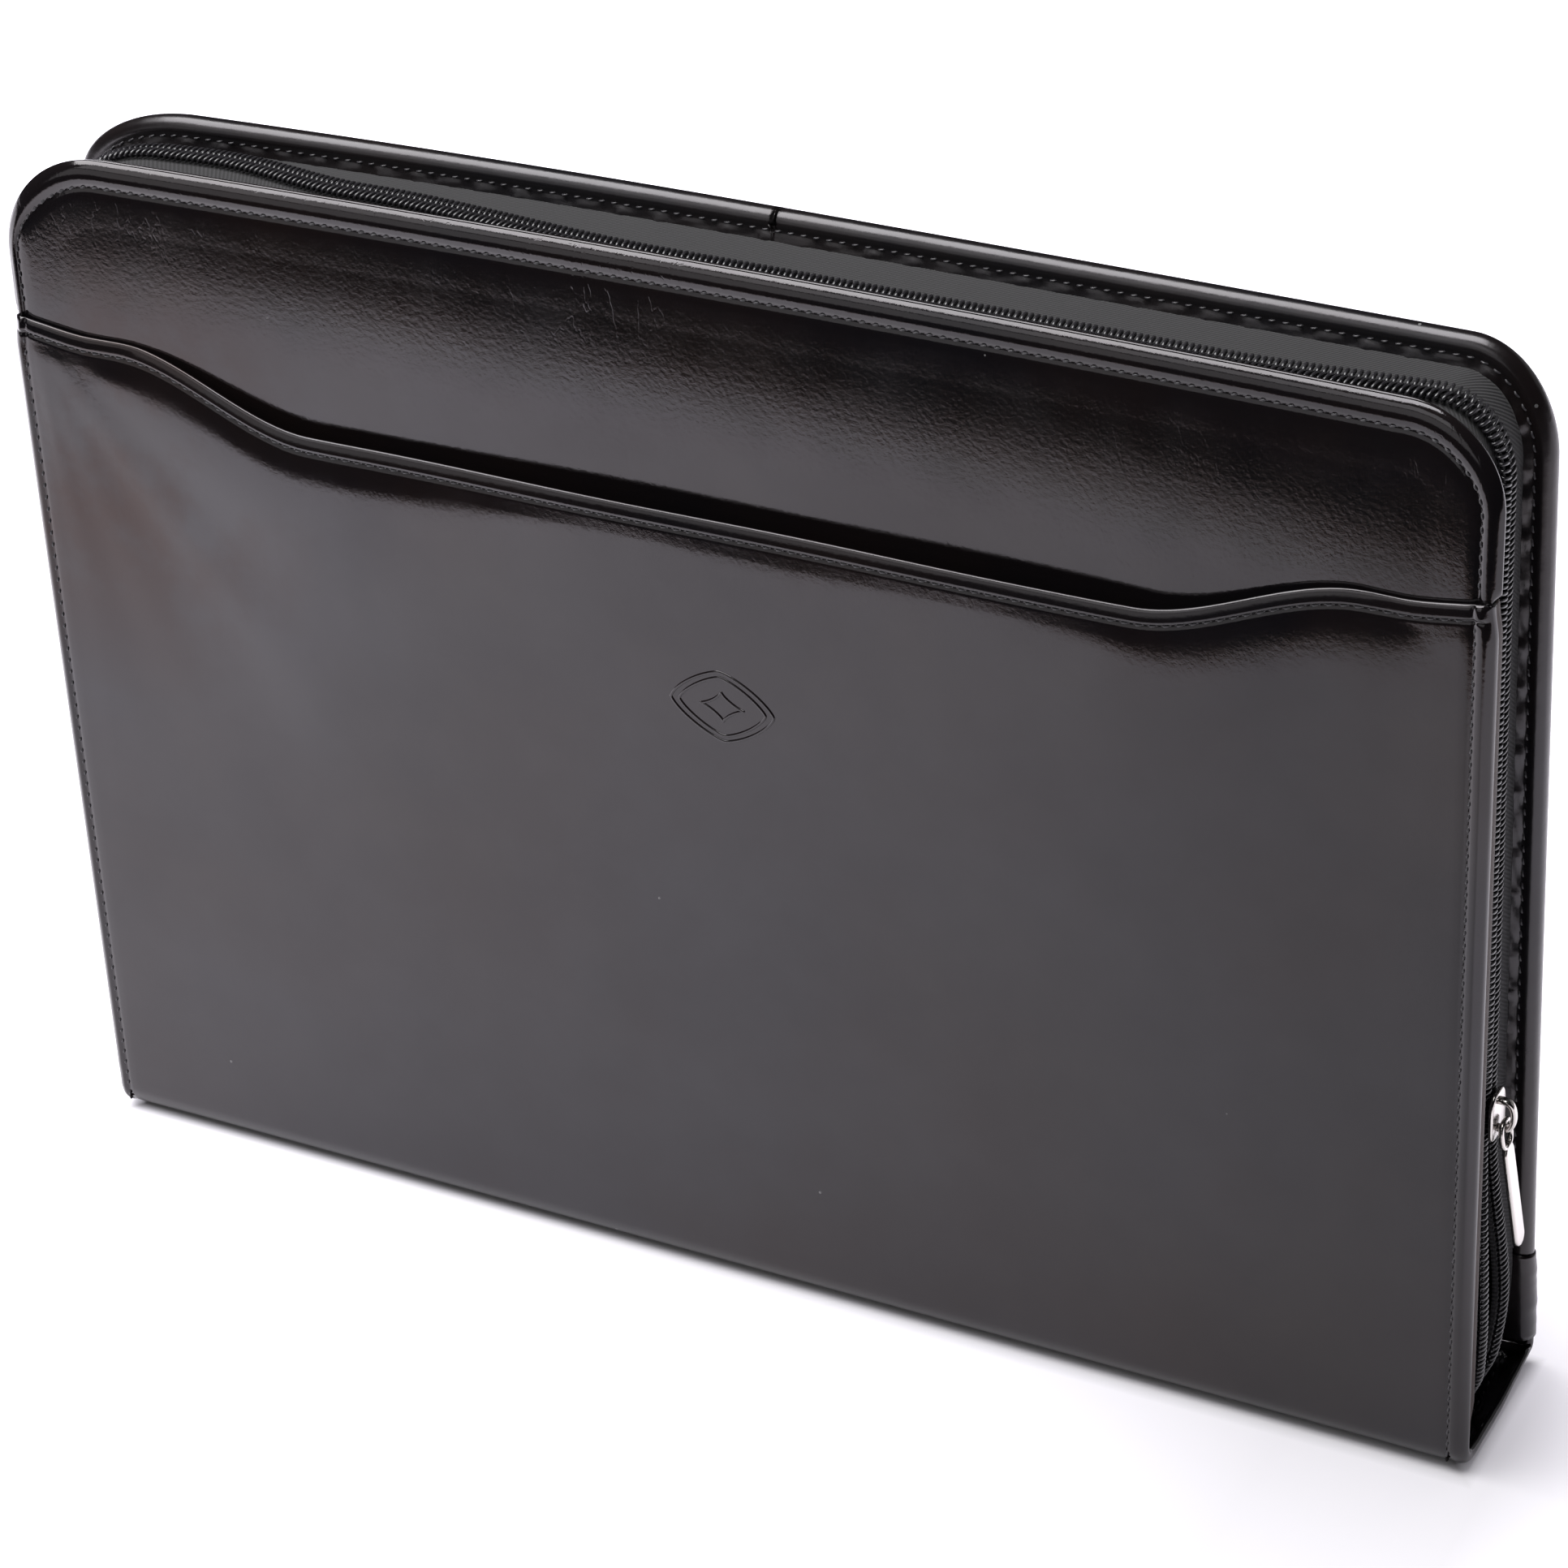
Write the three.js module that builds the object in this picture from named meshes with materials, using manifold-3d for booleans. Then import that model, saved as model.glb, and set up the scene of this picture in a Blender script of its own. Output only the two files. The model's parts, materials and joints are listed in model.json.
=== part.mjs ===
// A zipped leather document case for A4 papers, standing on its spine.
// Millimetres, +Z up, +X to the right along the front, +Y towards the back.
// Two stiff leather panels stand on a leather spine. A coil zip on two woven tapes runs up the left
// side, over the top and down the right side, and its slider hangs near the foot of the right side.
import * as THREE from "three";
import { mergeVertices } from "three/addons/utils/BufferGeometryUtils.js";
import Module from "manifold-3d";

// Overall sizes of the case
const width = 370;
const height = 270;
const depth = 47.5;

// Walls
const panelWall = 3;
const pocketWall = 1.3;
const facingWall = 1.2;
const bindingWall = 1.2;
const spineWall = 2.4;
const tapeWall = 1;

// Clearance between pieces that touch, and at the seams of the soft tapes
const gap = 0.3;
const seamGap = 0.5;

// Front panel: radii of its top corners, how far its top leans back, how far the middle of its top
// edge bows back, and how its last band rolls back to the rim
const frontRadiusLeft = 28.5;
const frontRadiusRight = 22;
const frontLean = 2.2;
const frontBow = 4;
const topRoll = 1.6;
const rollBand = 55;

// Back panel: it is a little wider, leans in and stands a little to the left at its top, and its top
// edge falls a little towards its left end
const backOverhang = 1;
const backRadiusLeft = 21;
const backRadiusLeftAcross = 34;
const backRadiusRight = 26;
const backRadiusRightAcross = 20;
const backLean = 4;
const backBow = 1.5;
const backShift = 2;
const backLeftFall = 3.3;
const backFlareHeight = 18;

// Edges of the panels: their rounded rim, the strips along it and the band that keeps its outline
const rimRound = 1.5;
const facingWidth = 9;
const bindingWidth = 9;
const facingInset = 1;
const rimBand = 16;

// Slip pocket on the front: heights of its mouth at the sides, on the shoulders and in the middle,
// how far the mouth gapes, how deep the gape runs and the folded hem along the mouth
const pocketSideHeight = 228.5;
const pocketShoulderHeight = 226;
const pocketMiddleHeight = 212;
const pocketGape = 5;
const gapeDepth = 120;
const hemDepth = 6;
const hemThickness = 0.7;
const pocketCornerRound = 2.2;

// Spine: its rounded front fold, its sharper back fold, and how far its back corner lifts at the ends
const spineFrontRadius = 7;
const spineBackRadius = 3.2;
const spineBackLip = 12;
const spineEndLift = 4.5;
const liftLength = 40;

// Zip: how deep the tapes lie below the rims, and the size of one row of the coil
const tapeRecess = 6.6;
const rowWidth = 3;
const rowHeight = 2.2;
const tapeEdgeGap = 0.5;
const rowSpread = 3.6;
const spreadHeight = 32;
const footBulge = 2.6;
const footTuck = 4;

// Slider and pull
const sliderHeight = 88;
const sliderLength = 12;
const sliderWidth = 9;
const plateWall = 1.2;
const wedgeWidth = 1.8;
const wedgeLength = 2.2;
const crownRise = 4.2;
const crownLength = 9;
const crownBar = 1.4;
const crownWidth = 2.2;
const pullWall = 1.5;
const pullWidth = 5;
const pullLength = 26;
const pullTilt = 8;
const eyeWidth = 6.6;
const eyeBar = 1.1;
const eyeOpening = 6.2;

// Plain helpers
const clamp01 = (value) => Math.min(1, Math.max(0, value));
const mix = (from, to, share) => from + (to - from) * share;
const ease = (from, to, value) => {
  const share = clamp01((value - from) / (to - from));
  return share * share * (3 - 2 * share);
};
const span = (from, to, steps) => Array.from({ length: steps + 1 }, (_, i) => mix(from, to, i / steps));

// Reads a table of rows at a place, easing smoothly from row to row
function readTable(rows, place, column) {
  const next = rows.findIndex((row) => row.place >= place);
  if (next < 0) return rows[rows.length - 1][column];
  if (next === 0) return rows[0][column];
  const share = ease(rows[next - 1].place, rows[next].place, place);
  return mix(rows[next - 1][column], rows[next][column], share);
}

const flip = (faces) => faces.map(([a, b, c]) => [a, c, b]);

// A closed geometry from points and faces: equal points are merged, empty faces are dropped and the
// faces are turned so that they look outwards
function closedGeometry(points, faces) {
  const cell = 1e-3;
  const known = new Map();
  const kept = [];
  const renamed = points.map((point) => {
    const key = point.map((value) => Math.round(value / cell)).join(",");
    if (!known.has(key)) {
      known.set(key, kept.length);
      kept.push(point);
    }
    return known.get(key);
  });
  const whole = faces
    .map((face) => face.map((index) => renamed[index]))
    .filter(([a, b, c]) => a !== b && b !== c && c !== a);
  const corner = (index) => new THREE.Vector3(...kept[index]);
  const volume = whole.reduce(
    (sum, [a, b, c]) => sum + corner(a).dot(corner(b).cross(corner(c))) / 6,
    0,
  );
  const facing = volume < 0 ? flip(whole) : whole;
  const geometry = new THREE.BufferGeometry();
  geometry.setAttribute("position", new THREE.Float32BufferAttribute(kept.flat(), 3));
  geometry.setIndex(facing.flat());
  geometry.computeVertexNormals();
  return geometry;
}

// Two triangles for each cell of a grid of point numbers
function gridFaces(grid) {
  const faces = [];
  for (let i = 0; i + 1 < grid.length; i += 1) {
    for (let j = 0; j + 1 < grid[i].length; j += 1) {
      faces.push([grid[i][j], grid[i + 1][j], grid[i + 1][j + 1]]);
      faces.push([grid[i][j], grid[i + 1][j + 1], grid[i][j + 1]]);
    }
  }
  return faces;
}

// A wall of leather or cloth: an outer and an inner grid of points, closed along their edges. Where the
// last rows fold onto themselves, as in the middle of a panel, that edge is already closed.
function wall(outer, inner, foldedEnd = false) {
  const points = [...outer.flat(), ...inner.flat()];
  const columns = outer[0].length;
  const rows = outer.length;
  const outerIndex = outer.map((row, i) => row.map((_, j) => i * columns + j));
  const innerIndex = outerIndex.map((row) => row.map((index) => index + rows * columns));
  const edge = (pick) => [pick(outerIndex), pick(innerIndex)];
  const faces = [
    ...gridFaces(outerIndex),
    ...flip(gridFaces(innerIndex)),
    ...flip(gridFaces(edge((grid) => grid[0]))),
    ...(foldedEnd ? [] : gridFaces(edge((grid) => grid[rows - 1]))),
    ...gridFaces(edge((grid) => grid.map((row) => row[0]))),
    ...flip(gridFaces(edge((grid) => grid.map((row) => row[columns - 1])))),
  ];
  return closedGeometry(points, faces);
}

// A bar carried along a path: one closed loop of points for each station, with flat ends
function bar(loops) {
  const count = loops[0].length;
  const index = loops.map((loop, i) => [...loop.map((_, j) => i * count + j), i * count]);
  const fan = (loop) => loop.slice(1, count - 1).map((_, j) => [loop[0], loop[j + 1], loop[j + 2]]);
  const faces = [
    ...gridFaces(index),
    ...fan(index[0]),
    ...flip(fan(index[index.length - 1])),
  ];
  return closedGeometry(loops.flat(), faces);
}

// Outline of a panel seen from the front: its two sides, two round top corners and its top edge.
// A station names a stretch of the outline and a share of its length.
const frontOutline = {
  halfWidth: width / 2,
  top: height,
  left: { across: frontRadiusLeft, down: frontRadiusLeft },
  right: { across: frontRadiusRight, down: frontRadiusRight },
  leftFall: 0,
  shift: 0,
};
const frontPanelOutline = { ...frontOutline, halfWidth: width / 2 - pocketWall - gap };
const backOutline = {
  halfWidth: width / 2 + backOverhang,
  top: height,
  left: { across: backRadiusLeftAcross, down: backRadiusLeft },
  right: { across: backRadiusRightAcross, down: backRadiusRight },
  leftFall: backLeftFall,
  shift: -backShift,
};

// The stations of a side lie closer together where the zip opens, round the slider and below it
const tapeFoot = spineWall + gap;
const sliderFoot = sliderHeight - sliderLength / 2;
const wedgeTop = sliderFoot + wedgeLength + gap;
const legTop = height - frontRadiusRight;
const legShareAt = (z) => (z - tapeFoot) / (legTop - tapeFoot);
const legHeights = [
  ...[0, 0.1, 0.2, 0.32, 0.44, 0.58, 0.78].map((share) => mix(tapeFoot, sliderFoot, share)),
  sliderFoot,
  wedgeTop,
  sliderHeight,
  sliderHeight + sliderLength / 2,
  ...[0.25, 0.5, 0.75, 1].map((share) => mix(sliderHeight + sliderLength / 2, legTop, share)),
];
const legShares = legHeights.map(legShareAt);
const cornerSteps = 6;
const topSteps = 14;
const stations = [
  ...legShares.map((share) => ({ stretch: "leg", side: -1, share })),
  ...span(0, 1, cornerSteps).slice(1).map((share) => ({ stretch: "corner", side: -1, share })),
  ...span(-1, 1, topSteps).slice(1, -1).map((share) => ({ stretch: "top", side: 0, share })),
  ...span(1, 0, cornerSteps).slice(0, -1).map((share) => ({ stretch: "corner", side: 1, share })),
  ...[...legShares].reverse().map((share) => ({ stretch: "leg", side: 1, share })),
];

// Point of an outline at a station, moved inwards from the edge by an inset
function outlinePoint(outline, station, inset, foot) {
  const corner = station.side < 0 ? outline.left : outline.right;
  const across = Math.max(corner.across - inset, 0);
  const down = Math.max(corner.down - inset, 0);
  const half = outline.halfWidth - inset;
  const top = outline.top - inset;
  let x = station.side * half;
  let z = mix(foot, top - down, station.share);
  if (station.stretch === "corner") {
    const angle = (station.share * Math.PI) / 2;
    x = station.side * (half - across + across * Math.cos(angle));
    z = top - down + down * Math.sin(angle);
  }
  if (station.stretch === "top") {
    const from = -half + Math.max(outline.left.across - inset, 0);
    const to = half - Math.max(outline.right.across - inset, 0);
    x = mix(from, to, (station.share + 1) / 2);
    z = top;
  }
  const leftwards = clamp01(-x / outline.halfWidth);
  z -= (outline.leftFall * leftwards * leftwards * (z - foot)) / (outline.top - foot);
  return [x + (outline.shift * z) / height, z];
}

// Depth of the outer face of the slip pocket's plane and of the back panel's outer face
function frontFace(x, z) {
  const up = z / height;
  const across = (2 * x) / width;
  const roll = clamp01((z - (height - rollBand)) / rollBand);
  return -depth / 2 + (frontLean + frontBow * (1 - across * across)) * up + topRoll * roll * roll;
}

function backFace(x, z) {
  const up = z / height;
  const across = (2 * x) / width;
  const flare = Math.exp(-z / backFlareHeight);
  return depth / 2 - backLean * (1 - flare) + backBow * (1 - across * across) * up;
}

// Depths, from the outer face inwards, of the layers behind the front and before the back
const frontPanelFace = pocketWall + gap;
const frontPanelInner = frontPanelFace + panelWall;
const frontFacingFace = frontPanelInner + gap;
const frontFacingInner = frontFacingFace + facingWall;
const backPanelFace = bindingWall + gap;
const backPanelInner = backPanelFace + panelWall;
const backBindingInner = backPanelInner + gap + bindingWall;

// A whole panel as rings that run inwards from its rim to a line up its middle. Each row has an inset
// from the rim and a share of the wall's thickness by which the rounded rim falls away there.
const rimRows = [
  { insetShare: 0, fallShare: 1 },
  { insetShare: 0.15, fallShare: 0.5 },
  { insetShare: 0.5, fallShare: 0.14 },
  { insetShare: 1, fallShare: 0 },
];
const innerShares = [0, 0.2, 0.5, 0.78, 1];

function panelRings(outline, rimInset, foot, depthAt) {
  const ringPoint = (station, inset, share) => {
    const [edgeX, edgeZ] = outlinePoint(outline, station, inset, foot);
    const middle = mix(foot, outline.top / 2, station.stretch === "leg" ? station.share : 1);
    return [mix(edgeX, 0, share), mix(edgeZ, middle, share)];
  };
  const rows = [
    ...rimRows.map((row) => ({ inset: row.insetShare * rimRound, fall: row.fallShare, share: 0 })),
    ...innerShares.map((share) => ({ inset: rimBand, fall: 0, share })),
  ];
  return rows.map((row) =>
    stations.map((station) => {
      const [x, z] = ringPoint(station, rimInset + row.inset, row.share);
      return [x, depthAt(x, z, row.fall), z];
    }),
  );
}

function panelWallGeometry(outline, rimInset, foot, outerDepth, innerDepth) {
  const middle = (x, z) => (outerDepth(x, z) + innerDepth(x, z)) / 2;
  const outer = panelRings(outline, rimInset, foot, (x, z, fall) =>
    mix(outerDepth(x, z), middle(x, z), fall),
  );
  const inner = panelRings(outline, rimInset, foot, (x, z, fall) =>
    mix(innerDepth(x, z), middle(x, z), fall),
  );
  return wall(outer, inner, true);
}

const panelFoot = spineFrontRadius + gap;
const backFoot = spineBackLip + gap;

const frontPanel = panelWallGeometry(
  frontPanelOutline,
  0,
  panelFoot,
  (x, z) => frontFace(x, z) + frontPanelFace,
  (x, z) => frontFace(x, z) + frontPanelInner,
);
const backPanel = panelWallGeometry(
  backOutline,
  bindingWall + gap,
  backFoot,
  (x, z) => backFace(x, z) - backPanelFace,
  (x, z) => backFace(x, z) - backPanelInner,
);

// Facing strip behind the rim of the front panel
function frontFacing() {
  const insets = [facingInset, facingInset + facingWidth];
  const layer = (deep) =>
    insets.map((inset) =>
      stations.map((station) => {
        const [x, z] = outlinePoint(frontPanelOutline, station, inset, panelFoot);
        return [x, frontFace(x, z) + deep, z];
      }),
    );
  return wall(layer(frontFacingFace), layer(frontFacingInner));
}

// Binding folded round the rim of the back panel: a flange behind it, the fold and a flange before it
function backBinding() {
  const half = backBindingInner / 2;
  const loop = (thick) => {
    const round = half - thick;
    const turn = span(0, Math.PI, 6).map((angle) => ({
      inset: thick + round - round * Math.sin(angle),
      deep: half - round * Math.cos(angle),
    }));
    return [
      { inset: bindingWidth, deep: thick },
      ...turn,
      { inset: bindingWidth, deep: backBindingInner - thick },
    ];
  };
  const layer = (thick) =>
    stations.map((station) =>
      loop(thick).map(({ inset, deep }) => {
        const [x, z] = outlinePoint(backOutline, station, inset, backFoot);
        return [x, backFace(x, z) - deep, z];
      }),
    );
  return wall(layer(0), layer(bindingWall));
}

// Height of the pocket's mouth, and how far it stands off the panel
const mouthBend = { middle: 0.56, shoulder: 0.84, rise: 0.88 };
const gapeBand = { full: 0.5, none: 0.97 };
const hemShares = [0, 0.1, 0.23, 0.83, 1.1];
const gapeShares = [0.18, 0.38, 0.63, 1];
const acrossShares = [0.92, 0.86, 0.81, 0.76, 0.71, 0.66, 0.61, 0.56, 0.48, 0.38, 0.26, 0.13];

function pocketMouth(x) {
  const across = Math.abs((2 * x) / width);
  const shoulder = ease(mouthBend.middle, mouthBend.shoulder, across);
  const side = ease(mouthBend.rise, 1, across);
  const base = mix(pocketMiddleHeight, pocketShoulderHeight, shoulder);
  return base + (pocketSideHeight - pocketShoulderHeight) * side;
}

function pocketStandOff(x, z) {
  const across = Math.abs((2 * x) / width);
  const mouth = pocketMouth(x);
  return pocketGape * (1 - ease(gapeBand.full, gapeBand.none, across)) * ease(mouth - gapeDepth, mouth, z);
}

// The slip pocket's leather covers the front below its mouth and folds round both side edges
function pocketPanel() {
  const half = width / 2;
  const flat = half - pocketCornerRound;
  const cut = 1 - Math.SQRT1_2;
  const innerRound = pocketCornerRound - pocketWall;
  const fold = [
    { x: half, deep: frontPanelInner, inX: half - pocketWall, inDeep: frontPanelInner },
    { x: half, deep: pocketCornerRound, inX: half - pocketWall, inDeep: pocketCornerRound },
    {
      x: half - pocketCornerRound * cut,
      deep: pocketCornerRound * cut,
      inX: half - pocketWall - innerRound * cut,
      inDeep: pocketWall + innerRound * cut,
    },
    { x: flat, deep: 0, inX: flat, inDeep: pocketWall },
  ];
  const mirrored = fold.map((point) => ({ ...point, x: -point.x, inX: -point.inX }));
  const shares = [...acrossShares.map((share) => -share), 0, ...[...acrossShares].reverse()];
  const columns = [
    ...mirrored,
    ...shares.map((share) => ({ x: share * flat, deep: 0, inX: share * flat, inDeep: pocketWall })),
    ...fold.reverse(),
  ];
  const hemDrops = hemShares.map((share) => share * hemDepth);
  const gapeDrops = gapeShares.map((share) => share * gapeDepth);
  const rows = [...hemDrops, ...gapeDrops, null].map((drop) => ({ drop }));
  const layer = (inside) =>
    rows.map(({ drop }, i) =>
      columns.map((column) => {
        const x = inside ? column.inX : column.x;
        const deep = inside ? column.inDeep : column.deep;
        const z = drop === null ? panelFoot : pocketMouth(column.x) - drop;
        const hem = i > 0 && drop !== null && drop < hemDepth && !inside ? hemThickness : 0;
        const lift = pocketStandOff(column.x, z) + hem * (1 - ease(gapeBand.none, 1, Math.abs(x) / half));
        return [x, frontFace(x, z) + deep - lift, z];
      }),
    );
  return wall(layer(false), layer(true));
}

// How far the spine is lifted off the floor at a place: only towards both ends and the back
function spineLift(x, y) {
  const towardsEnd = ease(width / 2 - liftLength, width / 2, Math.abs(x));
  return spineEndLift * towardsEnd * clamp01((2 * y) / depth);
}

// Spine: a strip with a round fold at the front, a flat foot and a sharper fold up to the back panel.
// Its back corner lifts a little towards both ends.
function spine() {
  const section = (inset) => {
    const front = spineFrontRadius - inset;
    const back = spineBackRadius - inset;
    const frontArc = span(0, Math.PI / 2, 6).map((angle) => ({
      y: -depth / 2 + spineFrontRadius - front * Math.cos(angle),
      z: spineFrontRadius - front * Math.sin(angle),
    }));
    const backArc = span(0, Math.PI / 2, 3).map((angle) => ({
      y: depth / 2 - spineBackRadius + back * Math.sin(angle),
      z: spineBackRadius - back * Math.cos(angle),
    }));
    const middle = { y: 0, z: inset };
    return [...frontArc, middle, ...backArc, { y: depth / 2 - inset, z: spineBackLip }];
  };
  const half = width / 2;
  const places = [0, 0.3, 0.55, 0.8, 1].map((share) => half - liftLength * (1 - share));
  const columns = [...places.map((x) => -x).reverse(), 0, ...places];
  const layer = (inset) =>
    columns.map((x) =>
      section(inset).map(({ y, z }) => {
        const below = clamp01((spineBackLip - z) / spineBackLip);
        return [x, y, z + spineLift(x, y) * below];
      }),
    );
  return wall(layer(0), layer(spineWall));
}

// Route of the zip between the panels, as a share of the way from the front tape's seam to the back
// one, for places along the top and at the sides
const zipRoute = [
  { place: -1, share: 0.68 },
  { place: -0.78, share: 0.75 },
  { place: -0.55, share: 0.52 },
  { place: -0.1, share: 0.27 },
  { place: 0.6, share: 0.29 },
  { place: 1, share: 0.5 },
];

// How the recess and the spread of the two rows change with the height above the floor at the right
// side, below the slider
function zipRecess(station, z) {
  if (station.side <= 0) return tapeRecess;
  const bulge = ease(sliderFoot, spreadHeight, z) - ease(spreadHeight, 0, z);
  return tapeRecess - footBulge * clamp01(bulge) + footTuck * ease(spreadHeight / 2, 0, z);
}

function zipSpread(station, z) {
  if (station.side <= 0) return 0;
  const wedge = ease(sliderHeight, wedgeTop, z) * (wedgeWidth / 2 + gap);
  const open = ease(sliderFoot, spreadHeight, z) - ease(spreadHeight, 0, z);
  return wedge + rowSpread * clamp01(open);
}

// Where the zip lies at a station: the seams of both tapes, the centre line, the outward direction in
// the plane of the panels and the half spread of the rows
function zipPlace(station, lift) {
  const probe = outlinePoint(frontOutline, station, tapeRecess, tapeFoot);
  const inset = zipRecess(station, probe[1]) - lift;
  const front = outlinePoint(frontOutline, station, inset, tapeFoot);
  const back = outlinePoint(backOutline, station, inset, tapeFoot);
  const frontSeam = [front[0], frontFace(...front) + frontFacingInner + seamGap, front[1]];
  const backSeam = [back[0], backFace(...back) - backBindingInner - seamGap, back[1]];
  const share = readTable(zipRoute, (2 * front[0]) / width, "share");
  const nearFoot = station.stretch === "leg" ? 1 - station.share : 0;
  return { frontSeam, backSeam, share, nearFoot, spread: zipSpread(station, probe[1]) };
}

// A point at a share of the way from the front seam to the back seam. At the foot of a side it stands
// on the spine, which lifts there.
function acrossZip(place, share) {
  const [x, y, z] = place.frontSeam.map((value, axis) => mix(value, place.backSeam[axis], share));
  return [x, y, z + spineLift(x, y) * place.nearFoot];
}

// A point beside the zip's centre line, at a distance along the tape towards the back
function besideZip(place, distance) {
  const front = new THREE.Vector3(...place.frontSeam);
  const length = front.distanceTo(new THREE.Vector3(...place.backSeam));
  return acrossZip(place, clamp01(place.share + distance / length));
}

// One tape, from its seam at a panel to its edge under the coil
function tape(side) {
  const shares = [0, 0.5, 1];
  const layer = (lift) =>
    stations.map((station) => {
      const place = zipPlace(station, lift);
      const edge = besideZip(place, side * (place.spread + tapeEdgeGap));
      const seam = acrossZip(place, side < 0 ? 0 : 1);
      return shares.map((share) => seam.map((value, axis) => mix(value, edge[axis], share)));
    });
  return wall(layer(0), layer(-tapeWall));
}

// One row of the coil, as a plain rounded bar on its tape
const rowSection = [
  { along: -0.5, up: 0.25 },
  { along: -0.3, up: 0 },
  { along: 0.3, up: 0 },
  { along: 0.5, up: 0.25 },
  { along: 0.5, up: 0.7 },
  { along: 0.25, up: 1 },
  { along: -0.25, up: 1 },
  { along: -0.5, up: 0.7 },
];

function coilRow(side) {
  const loops = stations.map((station) =>
    rowSection.map(({ along, up }) => {
      const place = zipPlace(station, gap + up * rowHeight);
      return besideZip(place, side * (place.spread + gap / 2 + rowWidth / 2) + along * rowWidth);
    }),
  );
  return bar(loops);
}

// Slider: two plates joined by a wedge between the rows, with an arched crown on the outer plate
const wasm = await Module();
wasm.setup();

function toSolid(geometry) {
  const bare = geometry.clone();
  bare.deleteAttribute("normal");
  if (bare.getAttribute("uv")) bare.deleteAttribute("uv");
  const merged = mergeVertices(bare, 1e-4);
  const mesh = new wasm.Mesh({
    numProp: 3,
    vertProperties: new Float32Array(merged.getAttribute("position").array),
    triVerts: new Uint32Array(merged.getIndex().array),
  });
  return new wasm.Manifold(mesh);
}

function toGeometry(solid) {
  const mesh = solid.getMesh();
  const geometry = new THREE.BufferGeometry();
  geometry.setAttribute("position", new THREE.Float32BufferAttribute(mesh.vertProperties, 3));
  geometry.setIndex([...mesh.triVerts]);
  geometry.computeVertexNormals();
  return geometry;
}

// A flat shape given a thickness, with sharp edges
const curveSegments = 8;
const extrude = (shape, thickness) =>
  new THREE.ExtrudeGeometry(shape, { depth: thickness, bevelEnabled: false, curveSegments });

// A flat shape drawn with its first axis along +Y and its second along +Z, given a thickness along X
function plateAt(shape, thickness, x) {
  const turn = new THREE.Matrix4().set(0, 0, 1, x, 1, 0, 0, 0, 0, 1, 0, 0, 0, 0, 0, 1);
  return extrude(shape, thickness).applyMatrix4(turn);
}

// A flat shape drawn with its first axis along +X and its second along +Z, given a width along Y
function cheekAt(shape, thickness) {
  const turn = new THREE.Matrix4().set(1, 0, 0, 0, 0, 0, -1, thickness / 2, 0, 1, 0, 0, 0, 0, 0, 1);
  return extrude(shape, thickness).applyMatrix4(turn);
}

function sliderShape() {
  const half = sliderWidth / 2;
  const long = sliderLength / 2;
  const nose = half * 0.45;
  const shape = new THREE.Shape();
  shape.moveTo(-half * 0.8, -long);
  shape.lineTo(half * 0.8, -long);
  shape.quadraticCurveTo(half, -long, half, -long + half * 0.4);
  shape.lineTo(half, 0);
  shape.quadraticCurveTo(half, long - nose, nose, long - nose * 0.3);
  shape.quadraticCurveTo(0, long + nose * 0.2, -nose, long - nose * 0.3);
  shape.quadraticCurveTo(-half, long - nose, -half, 0);
  shape.lineTo(-half, -long + half * 0.4);
  shape.quadraticCurveTo(-half, -long, -half * 0.8, -long);
  return shape;
}

// Levels of the slider, measured outwards from the outer face of the tape
const outerPlateLevel = rowHeight + 2 * gap;
const innerPlateLevel = -(tapeWall + gap + plateWall);
const crownLevel = outerPlateLevel + plateWall;
const pinLevel = crownLevel + gap + eyeBar * 0.9;
const crownFoot = -crownLength / 2;
const pinHeight = crownFoot + crownBar + gap + eyeBar * 0.9;

function crownShape() {
  const top = crownLength / 2;
  const outer = crownLevel + crownRise;
  const inner = outer - crownBar;
  const bury = crownLevel - plateWall / 2;
  const shape = new THREE.Shape();
  shape.moveTo(bury, crownFoot);
  shape.lineTo(outer - crownBar, crownFoot);
  shape.quadraticCurveTo(outer, crownFoot, outer, crownFoot + crownBar);
  shape.lineTo(outer, top - crownBar * 2);
  shape.quadraticCurveTo(outer, top, bury, top + crownBar / 2);
  shape.lineTo(bury, top - crownBar);
  shape.quadraticCurveTo(inner, top - crownBar * 1.4, inner, top - crownBar * 2.4);
  shape.lineTo(inner, crownFoot + crownBar);
  shape.lineTo(bury, crownFoot + crownBar);
  shape.closePath();
  return shape;
}

function slider() {
  const outerPlate = toSolid(plateAt(sliderShape(), plateWall, outerPlateLevel));
  const innerPlate = toSolid(plateAt(sliderShape(), plateWall, innerPlateLevel));
  const wedgeSpan = outerPlateLevel - innerPlateLevel;
  const wedgeBox = new THREE.BoxGeometry(wedgeSpan, wedgeWidth, wedgeLength);
  wedgeBox.translate(innerPlateLevel + wedgeSpan / 2, 0, -sliderLength / 2 + wedgeLength / 2);
  const crown = toSolid(cheekAt(crownShape(), crownWidth));
  const parts = [innerPlate, toSolid(wedgeBox), crown];
  return toGeometry(parts.reduce((whole, part) => whole.add(part), outerPlate));
}

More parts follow.
